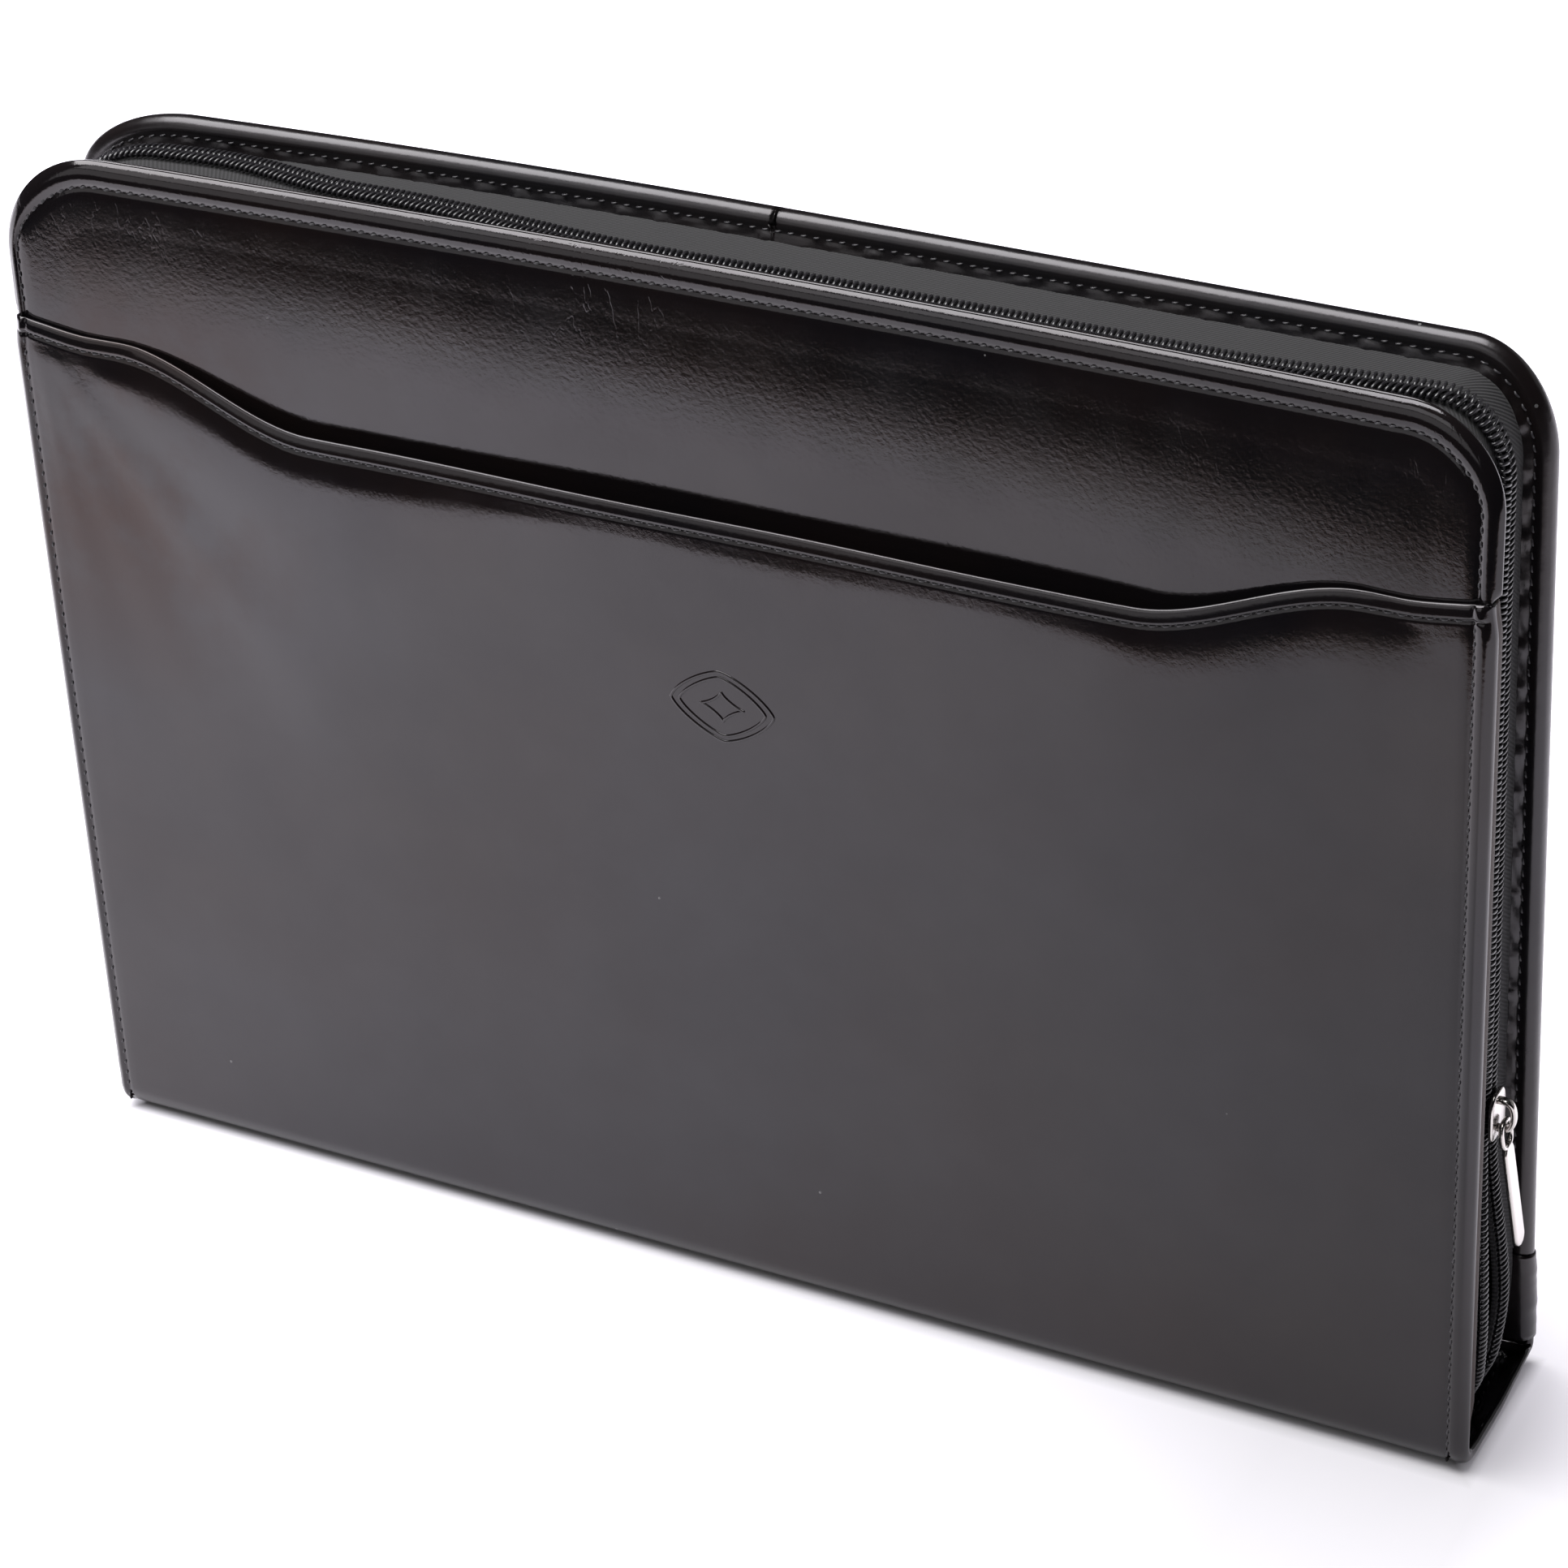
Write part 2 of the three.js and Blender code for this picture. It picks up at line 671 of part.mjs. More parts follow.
// Pull: a closed eye that passes under the crown, and a flat bar with a round end that hangs from it.
// Its origin is the pin of the eye and it hangs down along -Z.
function pull() {
  const half = pullWidth / 2;
  const eyeHalf = eyeWidth / 2;
  const neck = -eyeOpening;
  const end = neck - eyeBar - pullLength;
  const shape = new THREE.Shape();
  shape.moveTo(-eyeHalf + eyeBar, eyeBar * 0.55);
  shape.lineTo(eyeHalf - eyeBar, eyeBar * 0.55);
  shape.quadraticCurveTo(eyeHalf, eyeBar * 0.55, eyeHalf, -eyeBar * 0.7);
  shape.lineTo(eyeHalf, neck + eyeBar);
  shape.quadraticCurveTo(eyeHalf, neck, half, neck - eyeBar);
  shape.lineTo(half, end + half);
  shape.absarc(0, end + half, half, 0, -Math.PI, true);
  shape.lineTo(-half, neck - eyeBar);
  shape.quadraticCurveTo(-eyeHalf, neck, -eyeHalf, neck + eyeBar);
  shape.lineTo(-eyeHalf, -eyeBar * 0.7);
  shape.quadraticCurveTo(-eyeHalf, eyeBar * 0.55, -eyeHalf + eyeBar, eyeBar * 0.55);
  const holeHalf = eyeHalf - eyeBar;
  const hole = new THREE.Path();
  hole.moveTo(-holeHalf, -eyeBar * 0.55);
  hole.lineTo(-holeHalf, neck + holeHalf * 0.6);
  hole.quadraticCurveTo(-holeHalf, neck, 0, neck);
  hole.quadraticCurveTo(holeHalf, neck, holeHalf, neck + holeHalf * 0.6);
  hole.lineTo(holeHalf, -eyeBar * 0.55);
  hole.closePath();
  shape.holes.push(hole);
  return toGeometry(toSolid(plateAt(shape, pullWall, -pullWall / 2)));
}

// Finishes
const finish = (color, roughness, metalness) =>
  new THREE.MeshStandardMaterial({ color, roughness, metalness });
const polishedLeather = () => finish(0x141215, 0.28, 0);
const wovenTape = () => finish(0x232325, 0.9, 0);
const nylonCoil = () => finish(0x0c0c0d, 0.45, 0);
const nickel = () => finish(0xb9b6b4, 0.25, 1);

const documentCase = new THREE.Group();

function add(name, geometry, material, parent = documentCase) {
  const mesh = new THREE.Mesh(geometry, material);
  mesh.name = name;
  parent.add(mesh);
  return mesh;
}

add("front_panel", frontPanel, polishedLeather());
add("front_facing", frontFacing(), polishedLeather());
add("pocket_panel", pocketPanel(), polishedLeather());
add("back_panel", backPanel, polishedLeather());
add("back_binding", backBinding(), polishedLeather());
add("spine", spine(), polishedLeather());
add("front_tape", tape(-1), wovenTape());
add("back_tape", tape(1), wovenTape());
add("front_coil", coilRow(-1), nylonCoil());
add("back_coil", coilRow(1), nylonCoil());

// The slider straddles the zip at the right side, and the pull hangs from it, leaning on the rows
const seat = zipPlace({ stretch: "leg", side: 1, share: legShareAt(sliderHeight) }, 0);
const [seatX, seatY, seatZ] = besideZip(seat, 0);
const sliderGroup = new THREE.Group();
sliderGroup.position.set(seatX, seatY, seatZ);
documentCase.add(sliderGroup);
add("zip_slider", slider(), nickel(), sliderGroup);
const pullGroup = new THREE.Group();
pullGroup.position.set(pinLevel, 0, pinHeight);
pullGroup.rotation.y = (-pullTilt * Math.PI) / 180;
sliderGroup.add(pullGroup);
add("zip_pull", pull(), nickel(), pullGroup);

// The origin is the middle of the foot of the whole case with its pull
documentCase.updateMatrixWorld(true);
const box = new THREE.Box3().setFromObject(documentCase);
documentCase.position.x = -(box.min.x + box.max.x) / 2;
documentCase.position.y = -(box.min.y + box.max.y) / 2;
documentCase.updateMatrixWorld(true);

export default documentCase;
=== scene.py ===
# %% [markdown]
# A leather document case, dressed for its portrait.
# The solids of the case are already made and fixed in place. This lesson gives them their looks: the
# polished leather with its turned rims and stitching, the woven tapes, the coil of the zip and its
# bright slider. Every new piece stands exactly where its plain solid stands.

# %% Load the frame
import json
import math
import bmesh
import bpy
import numpy as np
from mathutils import Matrix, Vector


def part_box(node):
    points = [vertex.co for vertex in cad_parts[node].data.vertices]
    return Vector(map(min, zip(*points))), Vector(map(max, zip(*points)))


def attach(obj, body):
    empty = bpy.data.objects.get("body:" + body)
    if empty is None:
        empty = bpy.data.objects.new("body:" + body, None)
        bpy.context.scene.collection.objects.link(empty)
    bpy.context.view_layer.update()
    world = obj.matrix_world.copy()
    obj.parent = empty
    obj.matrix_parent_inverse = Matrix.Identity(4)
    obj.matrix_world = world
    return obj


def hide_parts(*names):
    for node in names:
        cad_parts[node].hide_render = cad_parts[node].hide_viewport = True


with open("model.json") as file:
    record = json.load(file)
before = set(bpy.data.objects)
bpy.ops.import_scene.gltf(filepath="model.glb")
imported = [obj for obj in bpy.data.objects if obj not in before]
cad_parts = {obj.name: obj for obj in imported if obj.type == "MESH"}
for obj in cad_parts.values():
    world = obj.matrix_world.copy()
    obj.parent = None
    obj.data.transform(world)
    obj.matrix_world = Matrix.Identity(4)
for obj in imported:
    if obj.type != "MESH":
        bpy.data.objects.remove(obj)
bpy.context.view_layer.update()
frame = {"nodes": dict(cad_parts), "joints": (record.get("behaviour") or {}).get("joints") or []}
print("solids:", ", ".join(sorted(frame["nodes"])))

# %% [markdown]
# The sizes that the pieces share come from the solids: how wide and deep the spine is and how high the
# front panel stands. All shapes are worked out round the middle of the spine, with x to the right,
# y to the back and z up, and the middle is added at the end.

# %% Sizes of the case
MM = 0.001
spine_low, spine_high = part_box("spine")
_, panel_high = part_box("front_panel")
WIDTH = spine_high.x - spine_low.x
DEPTH = spine_high.y - spine_low.y
HEIGHT = panel_high.z
MIDDLE = np.array([(spine_low.x + spine_high.x) / 2, (spine_low.y + spine_high.y) / 2, 0.0])
HALF = WIDTH / 2
GAP = 0.3 * MM
POCKET_WALL = 1.3 * MM
PANEL_WALL = 3.0 * MM
FACING_WALL = 1.2 * MM
BINDING_WALL = 1.2 * MM
SPINE_WALL = 2.4 * MM
TAPE_WALL = 1.0 * MM
print(f"case {WIDTH / MM:.0f} x {DEPTH / MM:.1f} x {HEIGHT / MM:.0f} mm")

# %% [markdown]
# Both faces of the case lean in a little, and the middle of each top edge bows. These two functions
# say how deep a face lies at any place, so every layer of leather can follow the same curves.

# %% The curved faces of the case
FRONT = {"left": 0.9 * MM, "right": 2.2 * MM, "bow": 4.0 * MM, "roll": 1.6 * MM, "roll_band": 55 * MM}
BACK = {"lean": 4.0 * MM, "bow": 1.5 * MM, "flare": 18 * MM, "overhang": 1.0 * MM}


def ease(start, stop, value):
    """A smooth step: 0 before start, 1 after stop, and share^2 * (3 - 2 * share) between them."""
    share = np.clip((value - start) / (stop - start), 0.0, 1.0)
    return share * share * (3.0 - 2.0 * share)


def bell(value, middle, width):
    """A bell curve: e to the power of minus the square of the distance from its middle in widths."""
    return np.exp(-(((value - middle) / width) ** 2))


def unit(vectors):
    """Vectors divided by their lengths."""
    return vectors / np.linalg.norm(vectors, axis=-1)[..., None]


def walked_along(points):
    """The distance walked along a line of points, up to each of them."""
    return np.concatenate([[0.0], np.cumsum(np.linalg.norm(np.diff(points, axis=0), axis=-1))])


def at_distance(place, walked, values):
    """Values given at walked distances, read at other places between them."""
    return np.stack([np.interp(place, walked, values[:, k]) for k in range(3)], axis=-1)


def front_face(x, z):
    """Depth of the front: it leans back with the height, bows in the middle and rolls at its top."""
    up = z / HEIGHT
    across = x / HALF
    roll = np.clip((z - (HEIGHT - FRONT["roll_band"])) / FRONT["roll_band"], 0.0, 1.0)
    side = FRONT["left"] + (FRONT["right"] - FRONT["left"]) * (across + 1) / 2
    return -DEPTH / 2 + (side + FRONT["bow"] * (1 - across**2)) * up + FRONT["roll"] * roll**2


def back_face(x, z):
    """Depth of the back: it pulls in quickly above the foot, and its middle bows out with height."""
    flare = np.exp(-z / BACK["flare"])
    return DEPTH / 2 - BACK["lean"] * (1 - flare) + BACK["bow"] * (1 - (x / HALF) ** 2) * z / HEIGHT


# %% [markdown]
# A panel seen from the front is two straight sides, two round corners and a top edge. A station is a
# place on that outline, and an inset moves it inwards. Rows of insets and stations make a grid, and
# a grid of points is all that a surface needs.

# %% The outline of a panel
SIDE_STEPS, CORNER_STEPS, TOP_STEPS = 150, 26, 200
side_share = np.linspace(0, 1, SIDE_STEPS)
corner_share = np.linspace(0, 1, CORNER_STEPS + 1)[1:]
top_share = np.linspace(0, 1, TOP_STEPS + 1)[1:-1]
SIDE, CORNER, TOP = 0, 1, 2
KIND = np.concatenate([
    np.full(SIDE_STEPS, SIDE), np.full(CORNER_STEPS, CORNER), np.full(TOP_STEPS - 1, TOP),
    np.full(CORNER_STEPS, CORNER), np.full(SIDE_STEPS, SIDE),
])
SHARE = np.concatenate([side_share, corner_share, top_share, corner_share[::-1], side_share[::-1]])
ON_RIGHT = np.arange(len(KIND)) >= SIDE_STEPS + CORNER_STEPS + (TOP_STEPS - 1) // 2
HAND = np.where(KIND == TOP, 0.0, np.where(ON_RIGHT, 1.0, -1.0))

FRONT_EDGE = {
    "half": HALF, "top": HEIGHT, "shift": 0.0, "fall": 0.0,
    "left": (26.5 * MM, 26.5 * MM), "right": (22 * MM, 22 * MM),
}
BACK_EDGE = {
    "half": HALF + BACK["overhang"], "top": HEIGHT, "shift": -2.0 * MM, "fall": 3.3 * MM,
    "left": (34 * MM, 21 * MM), "right": (20 * MM, 26 * MM),
}


def outline(edge, inset, foot):
    """x and z of every station at each inset: straight up the sides, round the corners as quarter
    ellipses whose radii shrink by the inset, and straight along the top. The left part then falls by
    a share of the edge's fall, and the whole outline leans sideways by its shift."""
    inset = np.atleast_2d(inset)
    if inset.shape[0] == 1 and inset.shape[1] != len(KIND):
        inset = inset.T
    across = np.where(ON_RIGHT, edge["right"][0], edge["left"][0])
    down = np.where(ON_RIGHT, edge["right"][1], edge["left"][1])
    across = np.maximum(across - inset, 0.0)
    down = np.maximum(down - inset, 0.0)
    half = edge["half"] - inset
    top = edge["top"] - inset
    turn = SHARE * math.pi / 2
    left_end = -half + np.maximum(edge["left"][0] - inset, 0.0)
    right_end = half - np.maximum(edge["right"][0] - inset, 0.0)
    x = np.select(
        [KIND == SIDE, KIND == CORNER],
        [HAND * half, HAND * (half - across + across * np.cos(turn))],
        left_end + (right_end - left_end) * SHARE,
    )
    z = np.select(
        [KIND == SIDE, KIND == CORNER],
        [foot + (top - down - foot) * SHARE, top - down + down * np.sin(turn)],
        top + 0.0 * SHARE,
    )
    leftwards = np.clip(-x / edge["half"], 0.0, 1.0)
    z = z - edge["fall"] * leftwards**2 * (z - foot) / (edge["top"] - foot)
    return x + edge["shift"] * z / HEIGHT, z


print("stations round a panel:", len(KIND))

# %% [markdown]
# Three small helpers turn grids of points into Blender meshes. A wall of leather is an outer grid and
# an inner grid with the same number of points, closed along its edges. Points that meet are welded,
# and the faces are turned outwards afterwards.

# %% From grids to meshes
MATERIALS = {}


def grid_faces(numbers):
    """One four-sided face for each cell of a grid of point numbers."""
    a, b = numbers[:-1, :-1], numbers[1:, :-1]
    c, d = numbers[1:, 1:], numbers[:-1, 1:]
    return np.stack([a, b, c, d], axis=-1).reshape(-1, 4)


def wall(outer, inner, folded_end=False):
    """Points and faces of a closed wall: the outer grid, the inner grid turned over, and a strip
    along each of the four edges. A last row that folds onto itself is closed already."""
    rows, columns = outer.shape[:2]
    top = np.arange(rows * columns).reshape(rows, columns)
    under = top + rows * columns
    strips = [
        grid_faces(np.stack([under[0], top[0]])), grid_faces(np.stack([top[:, 0], under[:, 0]])),
        grid_faces(np.stack([under[:, -1], top[:, -1]])),
    ]
    if not folded_end:
        strips.append(grid_faces(np.stack([top[-1], under[-1]])))
    faces = np.concatenate([grid_faces(top), grid_faces(under)[:, ::-1], *strips])
    return np.concatenate([outer.reshape(-1, 3), inner.reshape(-1, 3)]), faces


def ring_faces(rows, count):
    """Faces between rings of points, each ring closed on itself."""
    numbers = np.arange(rows * count).reshape(rows, count)
    return grid_faces(np.concatenate([numbers, numbers[:, :1]], axis=1))


def tube(rings):
    """Points and faces of a bar: rings of points along a path, each closed on itself, and both ends
    drawn together in their middle."""
    ends = [np.repeat(rings[i].mean(0)[None], rings.shape[1], axis=0)[None] for i in (0, -1)]
    rings = np.concatenate([ends[0], rings, ends[1]])
    return rings.reshape(-1, 3), ring_faces(*rings.shape[:2])


def joined(parts):
    """Several lots of points and faces as one."""
    points = np.concatenate([part[0] for part in parts])
    starts = np.cumsum([0] + [len(part[0]) for part in parts[:-1]])
    faces = np.concatenate([part[1] + start for part, start in zip(parts, starts)])
    return points, faces


def make_piece(name, shape, material, body, instead_of=(), flat=None, weld=2e-6, other=None):
    """Puts points and faces into a mesh of that name, welds and turns them outwards, gives it its
    finish and lets it ride on a body. flat holds two numbers a point for patterns along the piece.
    other is a second finish with a rule that picks its faces by the places of their middles."""
    points, faces = shape
    mesh = bpy.data.meshes.new(name)
    mesh.vertices.add(len(points))
    mesh.vertices.foreach_set("co", (points + MIDDLE).astype(np.float32).ravel())
    mesh.loops.add(faces.size)
    mesh.loops.foreach_set("vertex_index", faces.astype(np.int32).ravel())
    mesh.polygons.add(len(faces))
    mesh.polygons.foreach_set("loop_start", np.arange(0, faces.size, 4, dtype=np.int32))
    if flat is not None:
        layer = mesh.uv_layers.new(name="along")
        layer.data.foreach_set("uv", flat[faces.ravel()].astype(np.float32).ravel())
    mesh.update(calc_edges=True)
    mesh.validate()
    work = bmesh.new()
    work.from_mesh(mesh)
    bmesh.ops.remove_doubles(work, verts=work.verts, dist=weld)
    bmesh.ops.recalc_face_normals(work, faces=work.faces)
    work.to_mesh(mesh)
    work.free()
    mesh.polygons.foreach_set("use_smooth", np.ones(len(mesh.polygons), dtype=bool))
    piece = bpy.data.objects.new(name, mesh)
    bpy.context.scene.collection.objects.link(piece)
    mesh.materials.append(MATERIALS[material])
    if other is not None:
        mesh.materials.append(MATERIALS[other[0]])
        middles = np.zeros(len(mesh.polygons) * 3, dtype=np.float32)
        mesh.polygons.foreach_get("center", middles)
        picked = other[1](middles.reshape(-1, 3) - MIDDLE)
        mesh.polygons.foreach_set("material_index", picked.astype(np.int32))
    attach(piece, body)
    if instead_of:
        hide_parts(*instead_of)
    print(f"{name}: {len(mesh.polygons)} faces, {'closed' if closed(mesh) else 'open'}")


def closed(mesh):
    """True if every edge joins exactly two faces."""
    edges = np.zeros(len(mesh.loops), dtype=np.int32)
    mesh.loops.foreach_get("edge_index", edges)
    return bool(np.all(np.bincount(edges, minlength=len(mesh.edges)) == 2))


# %% [markdown]
# The finishes come next. A material is a small graph of nodes, and most of them start in the same way:
# a principled shader, the object's own coordinates, and a few noises that vary the colour, the
# roughness and the height of the surface.

# %% A bench for making materials
class Finish:
    """A material with its shader, and short ways to add nodes and join them."""

    def __init__(self, name, color, roughness, **sockets):
        self.material = bpy.data.materials.new(name)
        self.material.use_nodes = True
        self.tree = self.material.node_tree
        self.shader = self.tree.nodes["Principled BSDF"]
        self.shader.inputs["Base Color"].default_value = (*color, 1)
        self.shader.inputs["Roughness"].default_value = roughness
        for socket, value in sockets.items():
            self.shader.inputs[socket.replace("_", " ")].default_value = value
        MATERIALS[name] = self.material

    def node(self, kind, settings=None, **inputs):
        """A node of a kind, with its settings and the values or links of its inputs."""
        made = self.tree.nodes.new(kind)
        for key, value in (settings or {}).items():
            setattr(made, key, value)
        for key, value in inputs.items():
            by_number = key[0] == "i" and key[1:].isdigit()
            socket = made.inputs[int(key[1:]) if by_number else key.replace("_", " ")]
            if isinstance(value, bpy.types.NodeSocket):
                self.tree.links.new(value, socket)
            else:
                socket.default_value = value
        return made

    def object_place(self):
        """The object's own coordinates."""
        return self.node("ShaderNodeTexCoord").outputs["Object"]

    def along_place(self):
        """The flat coordinates that run along a piece."""
        return self.node("ShaderNodeUVMap", {"uv_map": "along"}).outputs["UV"]

    def scaled(self, place, factors):
        """A place with each coordinate multiplied."""
        return self.node("ShaderNodeMapping", Vector=place, Scale=factors).outputs["Vector"]

    def noise(self, place, scale, detail=3.0, roughness=0.5):
        """A soft random value from 0 to 1."""
        made = self.node("ShaderNodeTexNoise", Vector=place, Scale=scale, Detail=detail, Roughness=roughness)
        return made.outputs["Fac"]

    def spread(self, value, low, high, to_low=0.0, to_high=1.0):
        """A value stretched from one range to another."""
        made = self.node("ShaderNodeMapRange", Value=value, From_Min=low, From_Max=high,
                         To_Min=to_low, To_Max=to_high)
        return made.outputs["Result"]

    def calc(self, operation, first, second=0.0):
        """A sum, a product or the like of two values."""
        return self.node("ShaderNodeMath", {"operation": operation}, i0=first, i1=second).outputs[0]

    def blend(self, share, first, second):
        """A colour at a share of the way between two."""
        made = self.node("ShaderNodeMix", {"data_type": "RGBA"}, i0=share, i6=first, i7=second)
        return made.outputs[2]

    def bump(self, height, distance, strength=1.0, below=None):
        """A surface direction bent by a height, over another bump if one is given."""
        made = self.node("ShaderNodeBump", Height=height, Distance=distance, Strength=strength)
        if below is not None:
            self.tree.links.new(below, made.inputs["Normal"])
        return made.outputs["Normal"]

    def join(self, value, socket):
        """Leads a value into the shader."""
        self.tree.links.new(value, self.shader.inputs[socket])


# %% [markdown]
# The leather is calf, dyed black over brown and polished. Its colour is nearly black, with a brown that
# shows where the dye is thin. Fine pores and a faint crumple break up its reflections, and a clear
# wax coat gives the sharp lights along its rims. Specks of dust lie here and there.

# %% Polished leather
BLACK_DYE = (0.0045, 0.0040, 0.0048, 1)
BROWN_DYE = (0.0075, 0.0050, 0.0046, 1)
DUST = (0.10, 0.10, 0.10, 1)
LILAC_SHEEN = (0.985, 0.955, 1.0, 1)
BROWN_SHEEN = (1.0, 0.94, 0.94, 1)
DULL_SHEEN = (0.80, 0.76, 0.79, 1)
WORN_SHEEN = (0.84, 0.64, 0.60, 1)
WORN_PLACE = (-0.168, -0.018, 0.197)


def leather(name, gloss, crumple, creased=False):
    """Polished leather: gloss is its roughness, and crumple is how deep its soft creases are. Where
    it is creased, fine cracked lines run below the top stitches and above the pocket's mouth."""
    finish = Finish(name, BLACK_DYE[:3], gloss, IOR=1.5)
    place = finish.object_place()
    rubbed = finish.noise(place, 26.0, 5.0, 0.62)
    tinted = finish.spread(finish.noise(place, 11.0, 3.0, 0.5), 0.45, 0.75)
    from_corner = finish.node("ShaderNodeVectorMath", {"operation": "DISTANCE"}, i0=place, i1=WORN_PLACE)
    worn = finish.spread(from_corner.outputs["Value"], 0.018, 0.070, 1.0, 0.0)
    worn = finish.calc("MULTIPLY", worn, finish.spread(rubbed, 0.36, 0.56))
    tint = finish.blend(tinted, LILAC_SHEEN, BROWN_SHEEN)
    tint = finish.blend(finish.spread(rubbed, 0.35, 0.65, 0.0, 0.5), tint, DULL_SHEEN)
    finish.join(finish.blend(worn, tint, WORN_SHEEN), "Specular Tint")
    clouds = finish.noise(place, 14.0, 4.0, 0.55)
    dye = finish.blend(finish.spread(clouds, 0.42, 0.72), BLACK_DYE, BROWN_DYE)
    cells = finish.node("ShaderNodeTexVoronoi", {"feature": "F1"}, Vector=place, Scale=55.0)
    speck = finish.calc("LESS_THAN", cells.outputs["Distance"], 0.022)
    finish.join(finish.blend(speck, dye, DUST), "Base Color")
    polish = finish.noise(place, 60.0, 4.0, 0.6)
    finish.join(finish.spread(polish, 0.3, 0.7, gloss - 0.02, gloss + 0.04), "Roughness")
    pores = finish.noise(place, 2600.0, 2.0, 0.6)
    grain = finish.node("ShaderNodeTexVoronoi", {"feature": "SMOOTH_F1"}, Vector=place, Scale=900.0)
    soft = finish.noise(place, 130.0, 3.0, 0.5)
    fine = finish.bump(pores, 0.00003, 0.35)
    skin = finish.bump(grain.outputs["Distance"], 0.00004, 0.3, below=fine)
    worked = finish.bump(soft, crumple, 0.6, below=skin)
    if creased:
        height = finish.node("ShaderNodeSeparateXYZ", Vector=place).outputs["Z"]
        high = finish.spread(height, 0.240, 0.260)
        low = finish.spread(height, 0.236, 0.214, 0.0, 0.5)
        patches = finish.spread(finish.noise(place, 30.0, 3.0), 0.44, 0.64)
        amount = finish.calc("MULTIPLY", finish.calc("MAXIMUM", high, low), patches)
        hairs = finish.noise(finish.scaled(place, (150.0, 150.0, 62.0)), 1.0, 3.0, 0.6)
        away = finish.calc("ABSOLUTE", finish.calc("SUBTRACT", hairs, 0.5))
        line = finish.spread(away, 0.0, 0.018)
        worked = finish.bump(finish.calc("MULTIPLY", line, amount), 0.00003, 0.6, below=worked)
    finish.join(worked, "Normal")
    return finish


leather("leather", 0.10, 0.00003)
leather("creased leather", 0.085, 0.000013, creased=True)
leather("rim leather", 0.24, 0.00025)
raw_edge = Finish("raw edge", (0.022, 0.010, 0.007), 0.6, IOR=1.4, Specular_IOR_Level=0.25)
fibres = raw_edge.noise(raw_edge.scaled(raw_edge.object_place(), (900.0, 2600.0, 500.0)), 1.0, 3.0)
raw_edge.join(raw_edge.blend(fibres, (0.010, 0.006, 0.005, 1), (0.040, 0.017, 0.011, 1)), "Base Color")
raw_edge.join(raw_edge.bump(fibres, 0.0001, 0.6), "Normal")
print("leathers ready")

# %% [markdown]
# The tapes are woven in fine twill: dark grey yarns that cross in small slanting ribs. The pattern
# follows the tape, so it reads the piece's own flat coordinates, which are metres along and across.

# %% Woven tape
RIB_PITCH = 0.9 * MM


def woven(name):
    """Twill: slanting ribs from a wave across the tape's flat coordinates, broken up by a fine noise."""
    finish = Finish(name, (0.016, 0.016, 0.017), 0.85, Sheen_Weight=0.05, Sheen_Roughness=0.5)
    flat = finish.along_place()
    slant = (0, 0, math.radians(38))
    turned = finish.node("ShaderNodeMapping", Vector=flat, Rotation=slant).outputs["Vector"]
    ribs = finish.node("ShaderNodeTexWave", {"wave_type": "BANDS", "bands_direction": "X"},
                       Vector=turned, Scale=1 / RIB_PITCH / 3.18, Distortion=0.4, Detail=1.0,
                       Detail_Scale=6.0).outputs["Fac"]
    yarn = finish.noise(finish.scaled(flat, (1500.0, 3200.0, 1.0)), 1.0, 2.0, 0.6)
    cloth = finish.calc("MULTIPLY", ribs, finish.spread(yarn, 0.2, 0.8, 0.55, 1.0))
    finish.join(finish.blend(cloth, (0.0018, 0.0016, 0.0020, 1), (0.0190, 0.0176, 0.0205, 1)), "Base Color")
    finish.join(finish.bump(cloth, 0.00025, 0.7), "Normal")
    return finish


woven("tape")

# %% [markdown]
# The coil is black nylon with a soft shine, the thread is waxed and nearly black, and the slider is
# polished nickel with faint rubbing marks.

# %% Nylon, thread and nickel
nylon = Finish("coil", (0.012, 0.012, 0.013), 0.28, IOR=1.55)
nylon_rub = nylon.noise(nylon.object_place(), 900.0, 2.0)
nylon.join(nylon.spread(nylon_rub, 0.3, 0.7, 0.22, 0.36), "Roughness")
nylon.join(nylon.blend(nylon_rub, (0.007, 0.0065, 0.008, 1), (0.018, 0.0168, 0.0195, 1)), "Base Color")

nickel = Finish("nickel", (0.5, 0.475, 0.455), 0.2, Metallic=1.0)
nickel_place = nickel.object_place()
rubbing = nickel.noise(nickel.scaled(nickel_place, (900.0, 900.0, 160.0)), 1.0, 4.0)
nickel.join(nickel.spread(rubbing, 0.3, 0.7, 0.14, 0.3), "Roughness")
nickel.join(nickel.blend(rubbing, (0.44, 0.415, 0.395, 1), (0.58, 0.55, 0.53, 1)), "Base Color")
nickel.join(nickel.bump(rubbing, 0.00002, 0.4), "Normal")


def thread_finish(name):
    """Waxed thread: a fine noise for its fibres varies a dull black and its height."""
    finish = Finish(name, (0.035, 0.033, 0.037), 0.38)
    place = finish.object_place()
    fibre = finish.noise(place, 2400.0, 2.0)
    finish.join(finish.blend(fibre, (0.010, 0.009, 0.011, 1), (0.055, 0.052, 0.058, 1)), "Base Color")
    finish.join(finish.bump(fibre, 0.00008, 0.6), "Normal")
    return finish


thread_finish("thread")
# Painted shade: the needle's holes are near-black bars with little shine, standing in for the shade inside
# the holes.
painted_hole_shade = Finish("painted hole shade", (0.003, 0.003, 0.003), 0.7, Specular_IOR_Level=0.1)
uneven_hole_shade = painted_hole_shade.noise(painted_hole_shade.object_place(), 3000.0, 2.0)
painted_hole_shade.join(painted_hole_shade.blend(uneven_hole_shade, (0.001, 0.001, 0.001, 1), (0.006, 0.005, 0.005, 1)), "Base Color")
print("finishes:", ", ".join(sorted(MATERIALS)))

# %% [markdown]
# The front panel is a stiff board covered with leather. Its rim is round, and a line of stitches runs
# six millimetres inside it along the top, and three to five at the sides. The thread pulls the leather
# down into a groove, and the leather stands up a little on both sides, which catches the light.

